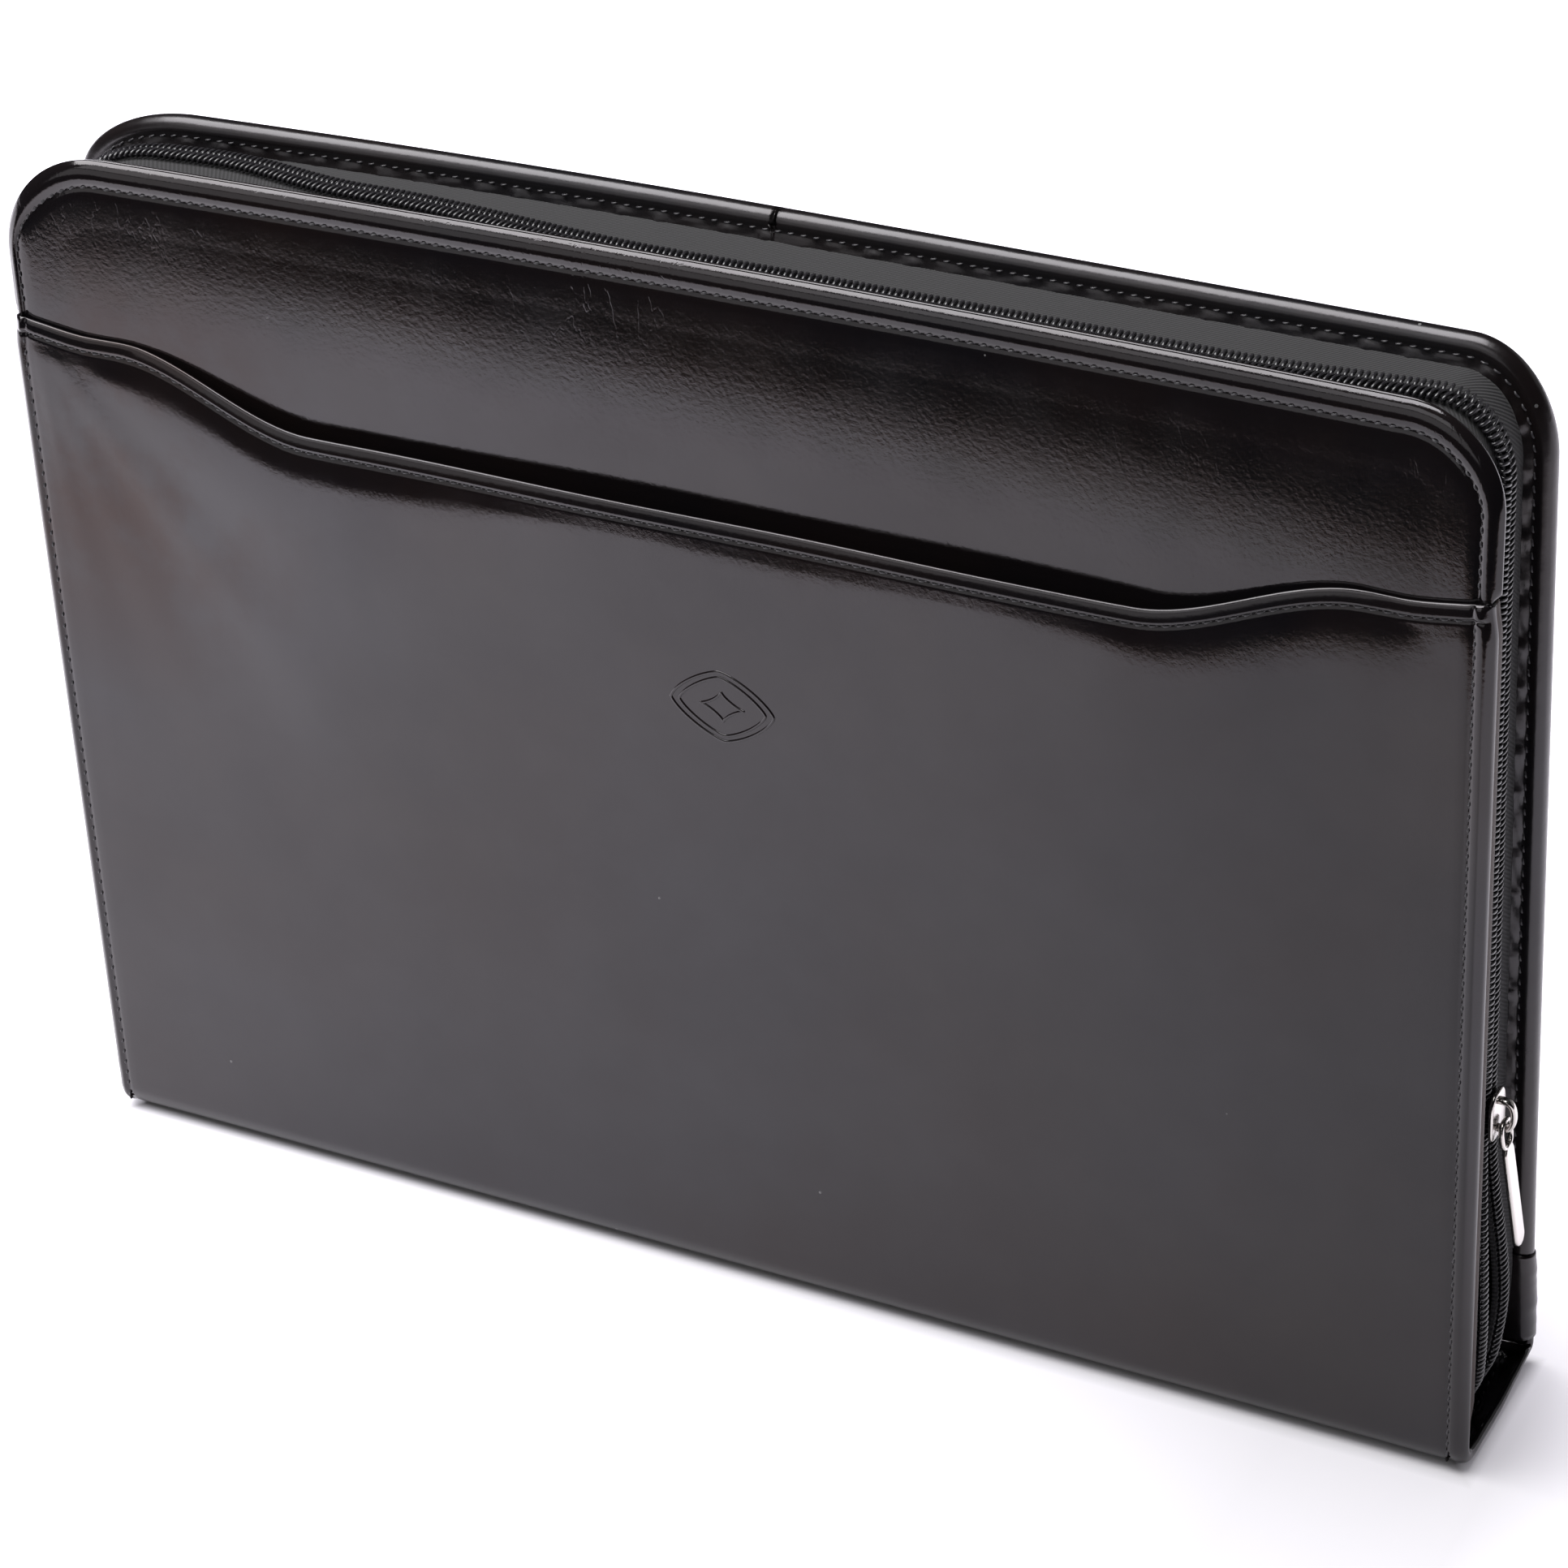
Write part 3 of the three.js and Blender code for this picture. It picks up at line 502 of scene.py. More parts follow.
# %% Relief beside a line of stitches
STITCH_INSET = 6.0 * MM
GROOVE_DEPTH = 0.3 * MM
GROOVE_HALF = 0.6 * MM
RIM_PUFF = 0.36 * MM
FIELD_PUFF = 0.16 * MM
FIELD_REACH = 26 * MM
RIM_FALL = 0.9 * MM
RIM_FALL_WIDTH = 4.2 * MM
SIDE_INSET = {-1: 3.3 * MM, 1: 4.6 * MM}
RIM_KEPT = 1.6 * MM


def rim_fall(inset):
    """How far the front's face falls back near its edge, with the square of the distance."""
    return RIM_FALL * np.clip(1 - inset / RIM_FALL_WIDTH, 0.0, 1.0) ** 2


def seam_inset(edge, foot):
    """How far inside the edge the stitches run at each station of an outline: less at the sides than
    along the top, with a smooth change round the corners."""
    x, z = outline(edge, np.array([0.0]), foot)
    beside = 1 - ease(edge["top"] - 24 * MM, edge["top"] - 3 * MM, z[0])
    near = np.where(x[0] < 0, SIDE_INSET[-1], SIDE_INSET[1])
    return STITCH_INSET + (near - STITCH_INSET) * beside


def pulled_in(inset, side):
    """Moves rings towards the edge so that the one at STITCH_INSET comes to lie at side: three
    straight pieces, with the round rim left as it is."""
    rim = np.minimum(inset, RIM_KEPT)
    band = np.clip((inset - RIM_KEPT) / (STITCH_INSET - RIM_KEPT), 0, 1) * (side - RIM_KEPT)
    field = np.clip((inset - STITCH_INSET) / (FIELD_REACH - STITCH_INSET), 0, 1) * (FIELD_REACH - side)
    return rim + band + field


def drawn_out(inset, side):
    """The reverse of pulled_in: a real distance from the edge as the distance that the relief knows."""
    rim = np.minimum(inset, RIM_KEPT)
    band = np.clip((inset - RIM_KEPT) / (side - RIM_KEPT), 0, 1) * (STITCH_INSET - RIM_KEPT)
    field = np.clip((inset - side) / (FIELD_REACH - side), 0, 1) * (FIELD_REACH - STITCH_INSET)
    return rim + band + field


def seam_relief(inset):
    """How far the leather stands out at a distance from the edge: half a sine wave between the edge
    and the stitches, a bell-shaped groove under them, and a soft swell that dies away inside."""
    rim = RIM_PUFF * np.sin(np.pi * np.clip(inset / STITCH_INSET, 0.0, 1.0))
    groove = GROOVE_DEPTH * bell(inset, STITCH_INSET, GROOVE_HALF)
    rise = ease(STITCH_INSET, STITCH_INSET + 3 * MM, inset)
    swell = FIELD_PUFF * rise * (1 - ease(STITCH_INSET + 3 * MM, FIELD_REACH, inset))
    return rim - groove + swell


# %% Panels
RIM_ROWS, BAND_ROWS, FIELD_ROWS = 8, 34, 26
BAND = 16 * MM


def panel(edge, foot, outer_depth, inner_depth, relief, covered=None):
    """A panel as rings from its rim inwards: a half-round rim, a band with the outline's shape, and a
    field whose rings shrink to a line up the middle. The depths are functions of x and z. covered
    holds a half width and a height: below that height the panel is only that wide."""
    thick = abs(float(inner_depth(0.0, HALF)) - float(outer_depth(0.0, HALF)))
    turn = np.linspace(0, math.pi / 2, RIM_ROWS)
    inset = np.concatenate([
        thick / 2 * (1 - np.cos(turn)), np.linspace(thick / 2, BAND, BAND_ROWS)[1:],
        np.full(FIELD_ROWS - 1, BAND),
    ])
    fullness = np.concatenate([np.sin(turn), np.ones(BAND_ROWS + FIELD_ROWS - 2)])[:, None]
    inwards = np.concatenate([
        np.zeros(RIM_ROWS + BAND_ROWS - 1), np.linspace(0, 1, FIELD_ROWS)[1:] ** 1.5,
    ])[:, None]
    x, z = outline(edge, pulled_in(inset[:, None], seam_inset(edge, foot)[None, :]), foot)
    if covered is not None:
        limit = covered[0] + (edge["half"] - covered[0]) * ease(covered[1], covered[1] + 0.8 * MM, z)
        x = np.clip(x, -limit, limit)
    middle_z = foot + (edge["top"] / 2 - foot) * np.where(KIND == SIDE, SHARE, 1.0)
    x = x * (1 - inwards)
    z = z + (middle_z - z) * inwards
    raised = relief(inset)[:, None] * (1 - ease(0.0, 0.4, inwards))
    middle = (outer_depth(x, z) + inner_depth(x, z)) / 2
    outwards = np.sign(outer_depth(x, z) - inner_depth(x, z))
    outer = middle + (outer_depth(x, z) + outwards * raised - middle) * fullness
    inner = middle + (inner_depth(x, z) - middle) * fullness
    return wall(np.stack([x, outer, z], axis=-1), np.stack([x, inner, z], axis=-1), folded_end=True)


FRONT_PANEL_FACE = POCKET_WALL + GAP
FRONT_PANEL_INNER = FRONT_PANEL_FACE + PANEL_WALL
BACK_PANEL_FACE = BINDING_WALL + GAP
BACK_PANEL_INNER = BACK_PANEL_FACE + PANEL_WALL
PANEL_FOOT = 7.3 * MM
POCKET_COVER = 228.8 * MM
BACK_FOOT = 12.3 * MM

make_piece(
    "front_leather",
    panel(
        FRONT_EDGE, PANEL_FOOT,
        lambda x, z: front_face(x, z) + FRONT_PANEL_FACE,
        lambda x, z: front_face(x, z) + FRONT_PANEL_INNER,
        lambda inset: seam_relief(inset) - rim_fall(inset),
        covered=(HALF - FRONT_PANEL_FACE, POCKET_COVER),
    ),
    "creased leather", "case", instead_of=["front_panel"],
)
make_piece(
    "back_leather",
    panel(
        {**BACK_EDGE, "half": BACK_EDGE["half"] - BACK_PANEL_FACE, "top": HEIGHT - BACK_PANEL_FACE},
        BACK_FOOT,
        lambda x, z: back_face(x, z) - BACK_PANEL_FACE,
        lambda x, z: back_face(x, z) - BACK_PANEL_INNER,
        lambda inset: 0.0 * inset,
    ),
    "leather", "case", instead_of=["back_panel"],
)

# %% [markdown]
# A strip of leather is sewn behind the front rim, and a wider one is folded round the back rim. The
# fold is a half circle between two flanges. The cut edge of the inner flange was pulled by the
# stitches, so it is wavy and wrinkled, and it catches the light in small glints.

# %% Facing and binding
FACING_WIDTH = 9 * MM
FACING_INSET = 0.6 * MM
BINDING_WIDTH = 9 * MM
BINDING_FULL = BACK_PANEL_INNER + GAP + BINDING_WALL


def ripple(along, across, seed, octaves=4):
    """A seeded sum of sine waves with random directions and phases, for wrinkles along a strip."""
    random = np.random.default_rng(seed)
    total = 0.0
    for octave in range(octaves):
        length = 9 * MM / 1.7**octave
        tilt = random.uniform(-0.6, 0.6)
        phase = random.uniform(0, 2 * math.pi)
        total = total + np.sin(2 * math.pi * (along + tilt * across) / length + phase) / 1.5**octave
    return total / octaves**0.5


def along_outline(x, z):
    """Distance walked along the outline up to each station."""
    steps = np.hypot(np.diff(x), np.diff(z))
    return np.concatenate([[0.0], np.cumsum(steps)])


def facing():
    """The strip behind the front rim: two layers whose top edges meet in a half-round."""
    start = FRONT_PANEL_INNER + 0.1 * MM
    half = FACING_WALL * 0.6
    turn = np.linspace(0, math.pi / 2, 6)
    inset = np.concatenate([FACING_INSET + half * (1 - np.cos(turn)),
                            np.linspace(FACING_INSET + half, FACING_INSET + FACING_WIDTH, 12)[1:]])
    fullness = np.concatenate([np.sin(turn), np.ones(11)])[:, None]
    x, z = outline({**FRONT_EDGE, "half": HALF - FRONT_PANEL_FACE}, inset, PANEL_FOOT)
    middle = front_face(x, z) + start + half
    outer = np.stack([x, middle - half * fullness, z], axis=-1)
    inner = np.stack([x, middle + half * fullness, z], axis=-1)
    return wall(outer, inner)


BINDING_STITCH = 1.3 * MM
FLANGE_LEAN = 0.9 * MM
FLANGE_ROWS, FOLD_ROWS = 14, 17
BUTT_PLACE = 0.3 * MM
TAB_LOW, TAB_HIGH, TAB_PROUD = 11.0 * MM, 36.0 * MM, 0.3 * MM


def binding_section(thick):
    """Insets and depths of the binding's section, from its outer flange round the fold to its inner
    one; thick is how far the layer lies inside the leather's outer surface."""
    half = BINDING_FULL / 2
    turn = np.linspace(0, math.pi, FOLD_ROWS)[1:-1]
    flange = np.linspace(BINDING_WIDTH, half, FLANGE_ROWS)
    inset = np.concatenate([flange, half - (half - thick) * np.sin(turn), flange[::-1]])
    deep = np.concatenate([
        np.full(FLANGE_ROWS, thick), half - (half - thick) * np.cos(turn),
        np.full(FLANGE_ROWS, BINDING_FULL - thick),
    ])
    return inset, deep


def binding(hand):
    """Half of the binding, carried round the back's outline up to the joint in the middle of the
    top, where the two ends butt and dip a little. The inner flange is wrinkled beyond its stitches."""
    half = BINDING_FULL / 2
    middle = SIDE_STEPS + CORNER_STEPS + (TOP_STEPS - 1) // 2
    chosen = slice(0, middle + 1) if hand < 0 else slice(middle, None)
    ends = [-1, -2] if hand < 0 else [0, 1]

    def layer(thick):
        inset, deep = binding_section(thick)
        inner = np.arange(len(inset)) >= FLANGE_ROWS + FOLD_ROWS - 2
        beyond = np.where(inner, inset - half, 0.0)
        wrinkled = ease(BINDING_STITCH, BINDING_STITCH + 1.4 * MM, beyond)
        tucked = inner * bell(beyond, BINDING_STITCH, 0.7 * MM)
        leaning = inner * FLANGE_LEAN * ease(BINDING_STITCH, BINDING_STITCH + 4 * MM, beyond)
        x, z = outline(BACK_EDGE, inset, BACK_FOOT)
        walked = along_outline(x[0], z[0])[None, :]
        waves = ripple(walked, inset[:, None], 7)
        deep = (deep + leaning - tucked * 0.25 * MM)[:, None] + wrinkled[:, None] * 0.34 * MM * (waves - 0.2)
        edge_wave = wrinkled[:, None] * 0.5 * MM * ripple(walked, 0.0 * walked, 11)
        x, z = outline(BACK_EDGE, inset[:, None] + edge_wave, BACK_FOOT)
        x, z, deep = x[:, chosen], z[:, chosen], deep[:, chosen]
        for column, away, dip in ((ends[0], 0.12 * MM, 0.25 * MM), (ends[1], 0.9 * MM, 0.0)):
            x[:, column] = BUTT_PLACE + hand * away
            z[:, column] -= dip
        return np.stack([x, back_face(x, z) - deep, z], axis=-1)

    return wall(layer(0.0), layer(BINDING_WALL))


def spine_tab(hand):
    """The ear of the spine's leather that is wrapped round the foot of the binding: the binding's
    section, a wall larger, over a short height with a slightly slanting end."""

    def layer(thick):
        inset, deep = binding_section(thick)
        rows = np.linspace(0, 1, 22)[:, None]
        slant = 1.5 * MM * (deep[None, :] / BINDING_FULL - 0.5)
        z = TAB_LOW + (TAB_HIGH + slant - TAB_LOW) * rows
        bulge = 0.25 * MM * np.sin(np.pi * rows) + 0.12 * MM * ripple(z, inset[None, :], 5)
        swollen = TAB_PROUD + (bulge if thick < 0 else 0.0 * bulge)
        middle_deep = deep[None, :] - BINDING_FULL / 2
        depth = BINDING_FULL / 2 + middle_deep * (1 + 2 * swollen / BINDING_FULL)
        outside = np.where(inset[None, :] < BINDING_FULL / 2, swollen, 0)
        x = hand * (BACK_EDGE["half"] - inset[None, :] + outside)
        x = x + BACK_EDGE["shift"] * z / HEIGHT
        return np.stack([x, back_face(x, z) - depth, z], axis=-1)

    return wall(layer(-0.1 * MM), layer(0.55 * MM))


make_piece("front_rim_facing", facing(), "leather", "case", instead_of=["front_facing"])
make_piece("back_rim_binding", joined([binding(-1), binding(1)]), "rim leather", "case",
           instead_of=["back_binding"])
for hand, side_name in ((-1, "left"), (1, "right")):
    make_piece(f"spine_tab_{side_name}", spine_tab(hand), "rim leather", "case")

# %% [markdown]
# One long piece of leather makes the slip pocket and the spine: it falls from the pocket's mouth down
# the front, turns under the foot and comes up behind. Its mouth is a curved line with a rolled hem,
# and it stands off the panel in the middle, so that papers can slide in.

# %% The pocket's mouth
MOUTH = {"side": 228.5 * MM, "shoulder": 226 * MM, "middle": 212 * MM}
MOUTH_BEND = {"middle": 0.56, "shoulder": 0.84, "rise": 0.88}
GAPE = 5 * MM
GAPE_DEPTH = 120 * MM
GAPE_BAND = {"full": 0.5, "none": 0.97}
HEM_LIFT = 0.5 * MM
HEM_ROUND = 0.9 * MM
HEM_STITCH = 3.8 * MM
HEM_ROLL = 0.5 * MM
HEM_PUFF = 0.4 * MM
CURL = 2.2 * MM
CURL_DEPTH = 31 * MM
MOUTH_TUCK = 0.9 * MM


def mouth_height(x):
    """Height of the mouth: level in the middle, with two smooth steps up to the sides."""
    across = np.abs(x) / HALF
    height = MOUTH["middle"] + (MOUTH["shoulder"] - MOUTH["middle"]) * ease(
        MOUTH_BEND["middle"], MOUTH_BEND["shoulder"], across)
    return height + (MOUTH["side"] - MOUTH["shoulder"]) * ease(MOUTH_BEND["rise"], 1.0, across)


def curl(x, drop):
    """How far the leather under the mouth curls back towards the panel: with the square of the
    distance above a line, and more in some places than in others."""
    waves = 0.42 + 0.58 * bell(x, -98 * MM, 40 * MM) + 0.1 * np.sin(x / (14 * MM))
    waves = waves + 0.2 * bell(x, 120 * MM, 30 * MM)
    level = np.clip(1 - drop / (CURL_DEPTH * (0.4 + 0.7 * waves)), 0, 1)
    return CURL * waves * level**2 * (1 - ease(0.86, 0.99, np.abs(x) / HALF))


def stand_off(x, z):
    """How far the pocket stands off the panel: most in the middle of the mouth, none at its ends."""
    across = np.abs(x) / HALF
    level = ease(-GAPE_DEPTH, 0.0, z - mouth_height(x))
    gape = GAPE * (1 - ease(GAPE_BAND["full"], GAPE_BAND["none"], across)) * level
    return np.maximum(gape - curl(x, mouth_height(x) - z), 0.0)


def hem_relief(x, drop):
    """The rolled hem: a lift that ends at the stitches, whose top rolls back with the square of the
    distance, a bell-shaped groove at the stitches, and a soft swell below them."""
    lift = HEM_LIFT * (1 - ease(3.0 * MM, HEM_STITCH, drop))
    roll = HEM_ROLL * np.clip(1 - drop / (3.4 * MM), 0, 1) ** 2
    groove = 0.3 * MM * bell(drop, HEM_STITCH, GROOVE_HALF)
    fuller = 0.35 + 0.65 * bell(x, -110 * MM, 55 * MM)
    swell = HEM_PUFF * fuller * ease(HEM_STITCH, 10 * MM, drop) * (1 - ease(14 * MM, 50 * MM, drop))
    return lift - roll - groove + swell


CREASES = np.array([
    (-26.0, 0.35, 9.0, 90.0), (-50.0, 0.5, 7.0, 105.0), (-70.0, 0.4, 6.0, 90.0), (-82.0, 0.3, 4.0, 80.0),
])


def drawn_folds(x, z):
    """Soft folds that fan out from the pocket's upper left corner, where the hem is sewn down. Each
    has a direction in degrees, a height, a half width and a length in millimetres: a bell across the
    direction, which widens and dies away along it."""
    total = 0.0
    for turn, high, wide, long in CREASES:
        a = math.radians(turn)
        along = (x + HALF - 5 * MM) * math.cos(a) + (z - MOUTH["side"] + 3 * MM) * math.sin(a)
        aside = -(x + HALF - 5 * MM) * math.sin(a) + (z - MOUTH["side"] + 3 * MM) * math.cos(a)
        width = wide * MM * (0.35 + np.clip(along / (long * MM), 0, 2))
        fade = ease(2 * MM, 22 * MM, along) * bell(along, 0.0, long * MM)
        total = total + high * MM * fade * bell(aside, 0.0, width)
    return total


def slow_waves(x, z):
    """Slow unevenness of the board under the leather: a few long sine waves of a tenth of a
    millimetre or so, which bend the mirror image of the floor."""
    a = np.sin(x / (47 * MM) + z / (90 * MM) + 0.4) * np.sin(z / (38 * MM) + 1.1)
    b = np.sin(x / (23 * MM) - z / (51 * MM) + 2.0) * np.sin(z / (61 * MM) + x / (70 * MM))
    return 0.10 * MM * a + 0.05 * MM * b


def side_seam(x):
    """Relief of the seams that hold the pocket at its sides."""
    return seam_relief(drawn_out(HALF - np.abs(x), np.where(x < 0, SIDE_INSET[-1], SIDE_INSET[1])))


def pocket_relief(x, z):
    """How far the pocket's leather stands out at a place: its hem and its side seams, which die away
    at the side folds, the drawn folds and the slow waves."""
    aside = np.abs(x)
    below = mouth_height(x) - z
    fade = 1 - ease(HALF - 2.6 * MM, HALF - 0.8 * MM, aside)
    seams = (hem_relief(x, below) + side_seam(x)) * fade
    folds = drawn_folds(x, z) * (1 - ease(HALF - 9 * MM, HALF - 3 * MM, aside))
    field = (1 - ease(HALF - 14 * MM, HALF - 6 * MM, aside)) * ease(0.0, 30 * MM, z)
    return seams + folds + slow_waves(x, z) * field * ease(4 * MM, 20 * MM, below)


def pocket_front(x, z):
    """Depth of the pocket's outer surface."""
    return front_face(x, z) - stand_off(x, z) - pocket_relief(x, z)


# %% The outer leather
FOLD_ROUND = 2.2 * MM
BEAD = {"start": 2.2 * MM, "round": 1.6 * MM}
SPINE = {"front": 7.0 * MM, "back": 3.2 * MM, "lip": 12 * MM, "lift": 4.5 * MM, "lift_length": 40 * MM}


def spine_lift(x, y, z):
    """The back corner of the spine lifts off the table towards both ends."""
    towards_end = ease(HALF - SPINE["lift_length"], HALF, np.abs(x))
    below = np.clip((SPINE["lip"] - z) / SPINE["lip"], 0.0, 1.0)
    return SPINE["lift"] * towards_end * np.clip(2 * y / DEPTH, 0.0, 1.0) * below


def fold_columns():
    """Columns from one side fold to the other. Each has its x and its depth behind the face, for the
    outer layer and for the layer one wall inside it; 1 in the last list marks depths that follow the
    fold's end, which is shallower round the spine."""
    turn = np.linspace(0, math.pi / 2, 8)[1:-1]
    inner_round = FOLD_ROUND - POCKET_WALL
    side = [(HALF, 1.0, 0.0), (HALF, 0.6, 0.0), (HALF, 0.25, 0.0)]
    outer = [(x, 0.0, end) for x, end, _ in side]
    inner = [(HALF - POCKET_WALL, 0.0, end) for _, end, _ in side]
    outer += [(HALF, FOLD_ROUND, 0.0)]
    inner += [(HALF - POCKET_WALL, inner_round, 0.0)]
    outer += [(HALF - FOLD_ROUND * (1 - math.cos(a)), FOLD_ROUND * (1 - math.sin(a)), 0.0) for a in turn]
    inner += [(HALF - POCKET_WALL - inner_round * (1 - math.cos(a)), inner_round * (1 - math.sin(a)), 0.0)
              for a in turn]
    near = np.linspace(HALF - FOLD_ROUND, HALF - 14 * MM, 26)
    far = np.linspace(HALF - 14 * MM, -(HALF - 14 * MM), 180)[1:-1]
    right = np.array(outer), np.array(inner)
    flat = [np.stack([near, 0 * near, 0 * near], axis=-1), np.stack([far, 0 * far, 0 * far], axis=-1)]
    mirror = np.array([-1.0, 1.0, 1.0])
    whole = [np.concatenate([part, flat[0], flat[1], (flat[0] * mirror)[::-1], (part * mirror)[::-1]])
             for part in right]
    return whole


def outer_leather():
    """Rows run from the mouth down the front, round the foot and up behind. Each row is a path in y
    and z with a direction that points into the case, and every column goes in by its own depth."""
    outer_columns, inner_columns = fold_columns()
    hem_turn = np.linspace(0, math.pi / 2, 7)
    hem_drop = np.concatenate([HEM_ROUND * (1 - np.cos(hem_turn)), np.linspace(HEM_ROUND, 8 * MM, 26)[1:]])
    fall = np.linspace(0, 1, 90)[1:]
    front_turn = np.linspace(0, math.pi / 2, 12)[1:]
    floor = np.linspace(0, 1, 14)[1:]
    back_turn = np.linspace(0, math.pi / 2, 8)[1:]
    lip = np.linspace(0, 1, 6)[1:]

    def layer(columns, inside):
        x = columns[None, :, 0]
        mouth = mouth_height(x)
        drop = hem_drop[:, None]
        z_hem = mouth - drop
        start = mouth - hem_drop[-1]
        z_fall = start + (SPINE["front"] - start) * fall[:, None]
        z_front = np.concatenate([z_hem, z_fall])
        raised = pocket_relief(x, z_front)
        foot_seam = side_seam(x) * (1 - ease(HALF - 2.6 * MM, HALF - 0.8 * MM, np.abs(x)))
        y_front = front_face(x, z_front) - stand_off(x, z_front)
        foot_lean = front_face(x, SPINE["front"] + 0 * x) + DEPTH / 2
        a = front_turn[:, None]
        y_arc = -DEPTH / 2 + SPINE["front"] * (1 - np.cos(a)) + foot_lean * (1 - a / (math.pi / 2))
        z_arc = SPINE["front"] * (1 - np.sin(a)) + 0 * x
        y_start, y_end = -DEPTH / 2 + SPINE["front"], DEPTH / 2 - SPINE["back"]
        y_floor = y_start + (y_end - y_start) * floor[:, None] + 0 * x
        b = back_turn[:, None]
        y_back = DEPTH / 2 - SPINE["back"] * (1 - np.sin(b)) + 0 * x
        z_back = SPINE["back"] * (1 - np.cos(b)) + 0 * x
        y_lip = DEPTH / 2 + 0 * lip[:, None] + 0 * x
        z_lip = SPINE["back"] + (SPINE["lip"] - SPINE["back"]) * lip[:, None] + 0 * x
        y = np.concatenate([y_front, y_arc, y_floor, y_back, y_lip])
        z = np.concatenate([z_front, z_arc, 0 * y_floor, z_back, z_lip])
        in_y = np.concatenate([np.ones_like(y_front), np.cos(a) + 0 * x, 0 * y_floor,
                               -np.sin(b) + 0 * x, -np.ones_like(y_lip)])
        in_z = np.concatenate([0 * y_front, np.sin(a) + 0 * x, np.ones_like(y_floor),
                               np.cos(b) + 0 * x, 0 * y_lip])
        front_rows = len(z_front)
        level = np.concatenate([np.zeros(front_rows), front_turn / (math.pi / 2),
                                np.ones(len(floor) + len(back_turn) + len(lip))])[:, None]
        near_foot = 1 - ease(SPINE["front"], SPINE["front"] + 12 * MM, z[:, :1]) * (level == 0)
        thick = POCKET_WALL + (SPINE_WALL - POCKET_WALL) * near_foot
        fold_end = FRONT_PANEL_INNER + (SPINE_WALL - FRONT_PANEL_INNER) * near_foot
        raised = np.concatenate([raised, foot_seam * (1 - level[front_rows:])])
        deep = columns[None, :, 1] + 0 * y
        follows = columns[None, :, 2]
        base = FOLD_ROUND if not inside else thick
        ends = base + (fold_end - base) * follows
        on_side = np.arange(len(columns)) < 3
        on_side = on_side | on_side[::-1]
        turn_over = (follows if not inside else 1.0 + 0 * follows) * math.pi / 2
        bead_deep = BEAD["start"] + BEAD["round"] * np.sin(turn_over)
        bead_x = BEAD["round"] * (1 - np.cos(turn_over))
        side_x = HALF - (0.0 if not inside else POCKET_WALL)
        side_x = side_x + (HALF - bead_x - side_x) * near_foot
        deep = np.where(on_side[None, :], ends + (bead_deep - ends) * near_foot, deep)
        x = np.where(on_side[None, :], np.sign(x) * side_x, x + 0 * y)
        tucked = (1 - ease(0.0, 9 * MM, mouth - z)) * ease(HALF - 7 * MM, HALF - 2.5 * MM, np.abs(x))
        hem_full = np.concatenate([np.sin(hem_turn), np.ones(len(y) - len(hem_turn))])[:, None]
        rounded = (1 - hem_full) * ease(HALF - 4 * MM, HALF - 2 * MM, np.abs(x))
        x = x - np.sign(x) * MOUTH_TUCK * (tucked + rounded)
        if inside:
            flat_part = ~on_side[None, :]
            deep = np.where(flat_part, deep + thick, deep)
        else:
            deep = deep - raised
        mid = (POCKET_WALL - HEM_LIFT) / 2
        flat_columns = (~on_side)[None, :]
        deep = np.where(flat_columns, mid + (deep - mid) * hem_full, deep)
        beside = ease(HALF - 6 * MM, HALF - 1.5 * MM, np.abs(x)) * near_foot
        deep = deep + beside * 0.16 * MM * ripple(y + z, x, 23)
        y = y + in_y * deep
        z = z + in_z * deep
        z = z + spine_lift(x, y, z)
        return np.stack([x, y, z], axis=-1)

    return wall(layer(outer_columns, False), layer(inner_columns, True))


def on_side_wall(place):
    """True beside the front panel, beyond the round of the side folds."""
    beside = np.abs(place[:, 0]) > HALF - POCKET_WALL - 0.1 * MM
    behind = place[:, 1] > front_face(place[:, 0], place[:, 2]) + FOLD_ROUND + 0.2 * MM
    return beside & behind & (place[:, 2] > SPINE["lip"])


make_piece("outer_leather", outer_leather(), "leather", "case", instead_of=["pocket_panel", "spine"],
           other=("raw edge", on_side_wall))

# %% [markdown]
# The zip runs between the panels. Its route is a share of the way from the front tape's seam to the
# back one, which wanders from place to place as on the real case. Below the slider the two rows part
# and bulge outwards, and at the foot they tuck in.

# %% The zip's route
ROUTE = np.array([(-1, 0.68), (-0.78, 0.75), (-0.55, 0.52), (-0.1, 0.27), (0.6, 0.29), (1, 0.5)])
ROUTE_PLACE, ROUTE_SHARE = ROUTE[:, 0], ROUTE[:, 1]
TAPE_RECESS = 6.6 * MM
ROW_WIDTH = 3.0 * MM
ROW_HEIGHT = 2.2 * MM
ROW_SPREAD = 3.6 * MM
SPREAD_HEIGHT = 32 * MM
FOOT_BULGE = 2.6 * MM
FOOT_TUCK = 4 * MM
SEAM_GAP = 0.5 * MM
TAPE_EDGE_GAP = 0.5 * MM
TAPE_FOOT = SPINE_WALL + GAP
SLIDER_HEIGHT = 88 * MM
SLIDER_LENGTH = 12 * MM
SLIDER_FOOT = SLIDER_HEIGHT - SLIDER_LENGTH / 2
WEDGE = {"width": 1.8 * MM, "length": 2.2 * MM}
WEDGE_TOP = SLIDER_FOOT + WEDGE["length"] + GAP


def route_share(x):
    """The route's share at a place, eased smoothly from one chosen place to the next."""
    place = np.clip(x / HALF, -1, 1)
    nearest = np.clip(np.searchsorted(ROUTE_PLACE, place) - 1, 0, len(ROUTE) - 2)
    share = ease(ROUTE_PLACE[nearest], ROUTE_PLACE[nearest + 1], place)
    return ROUTE_SHARE[nearest] + (ROUTE_SHARE[nearest + 1] - ROUTE_SHARE[nearest]) * share


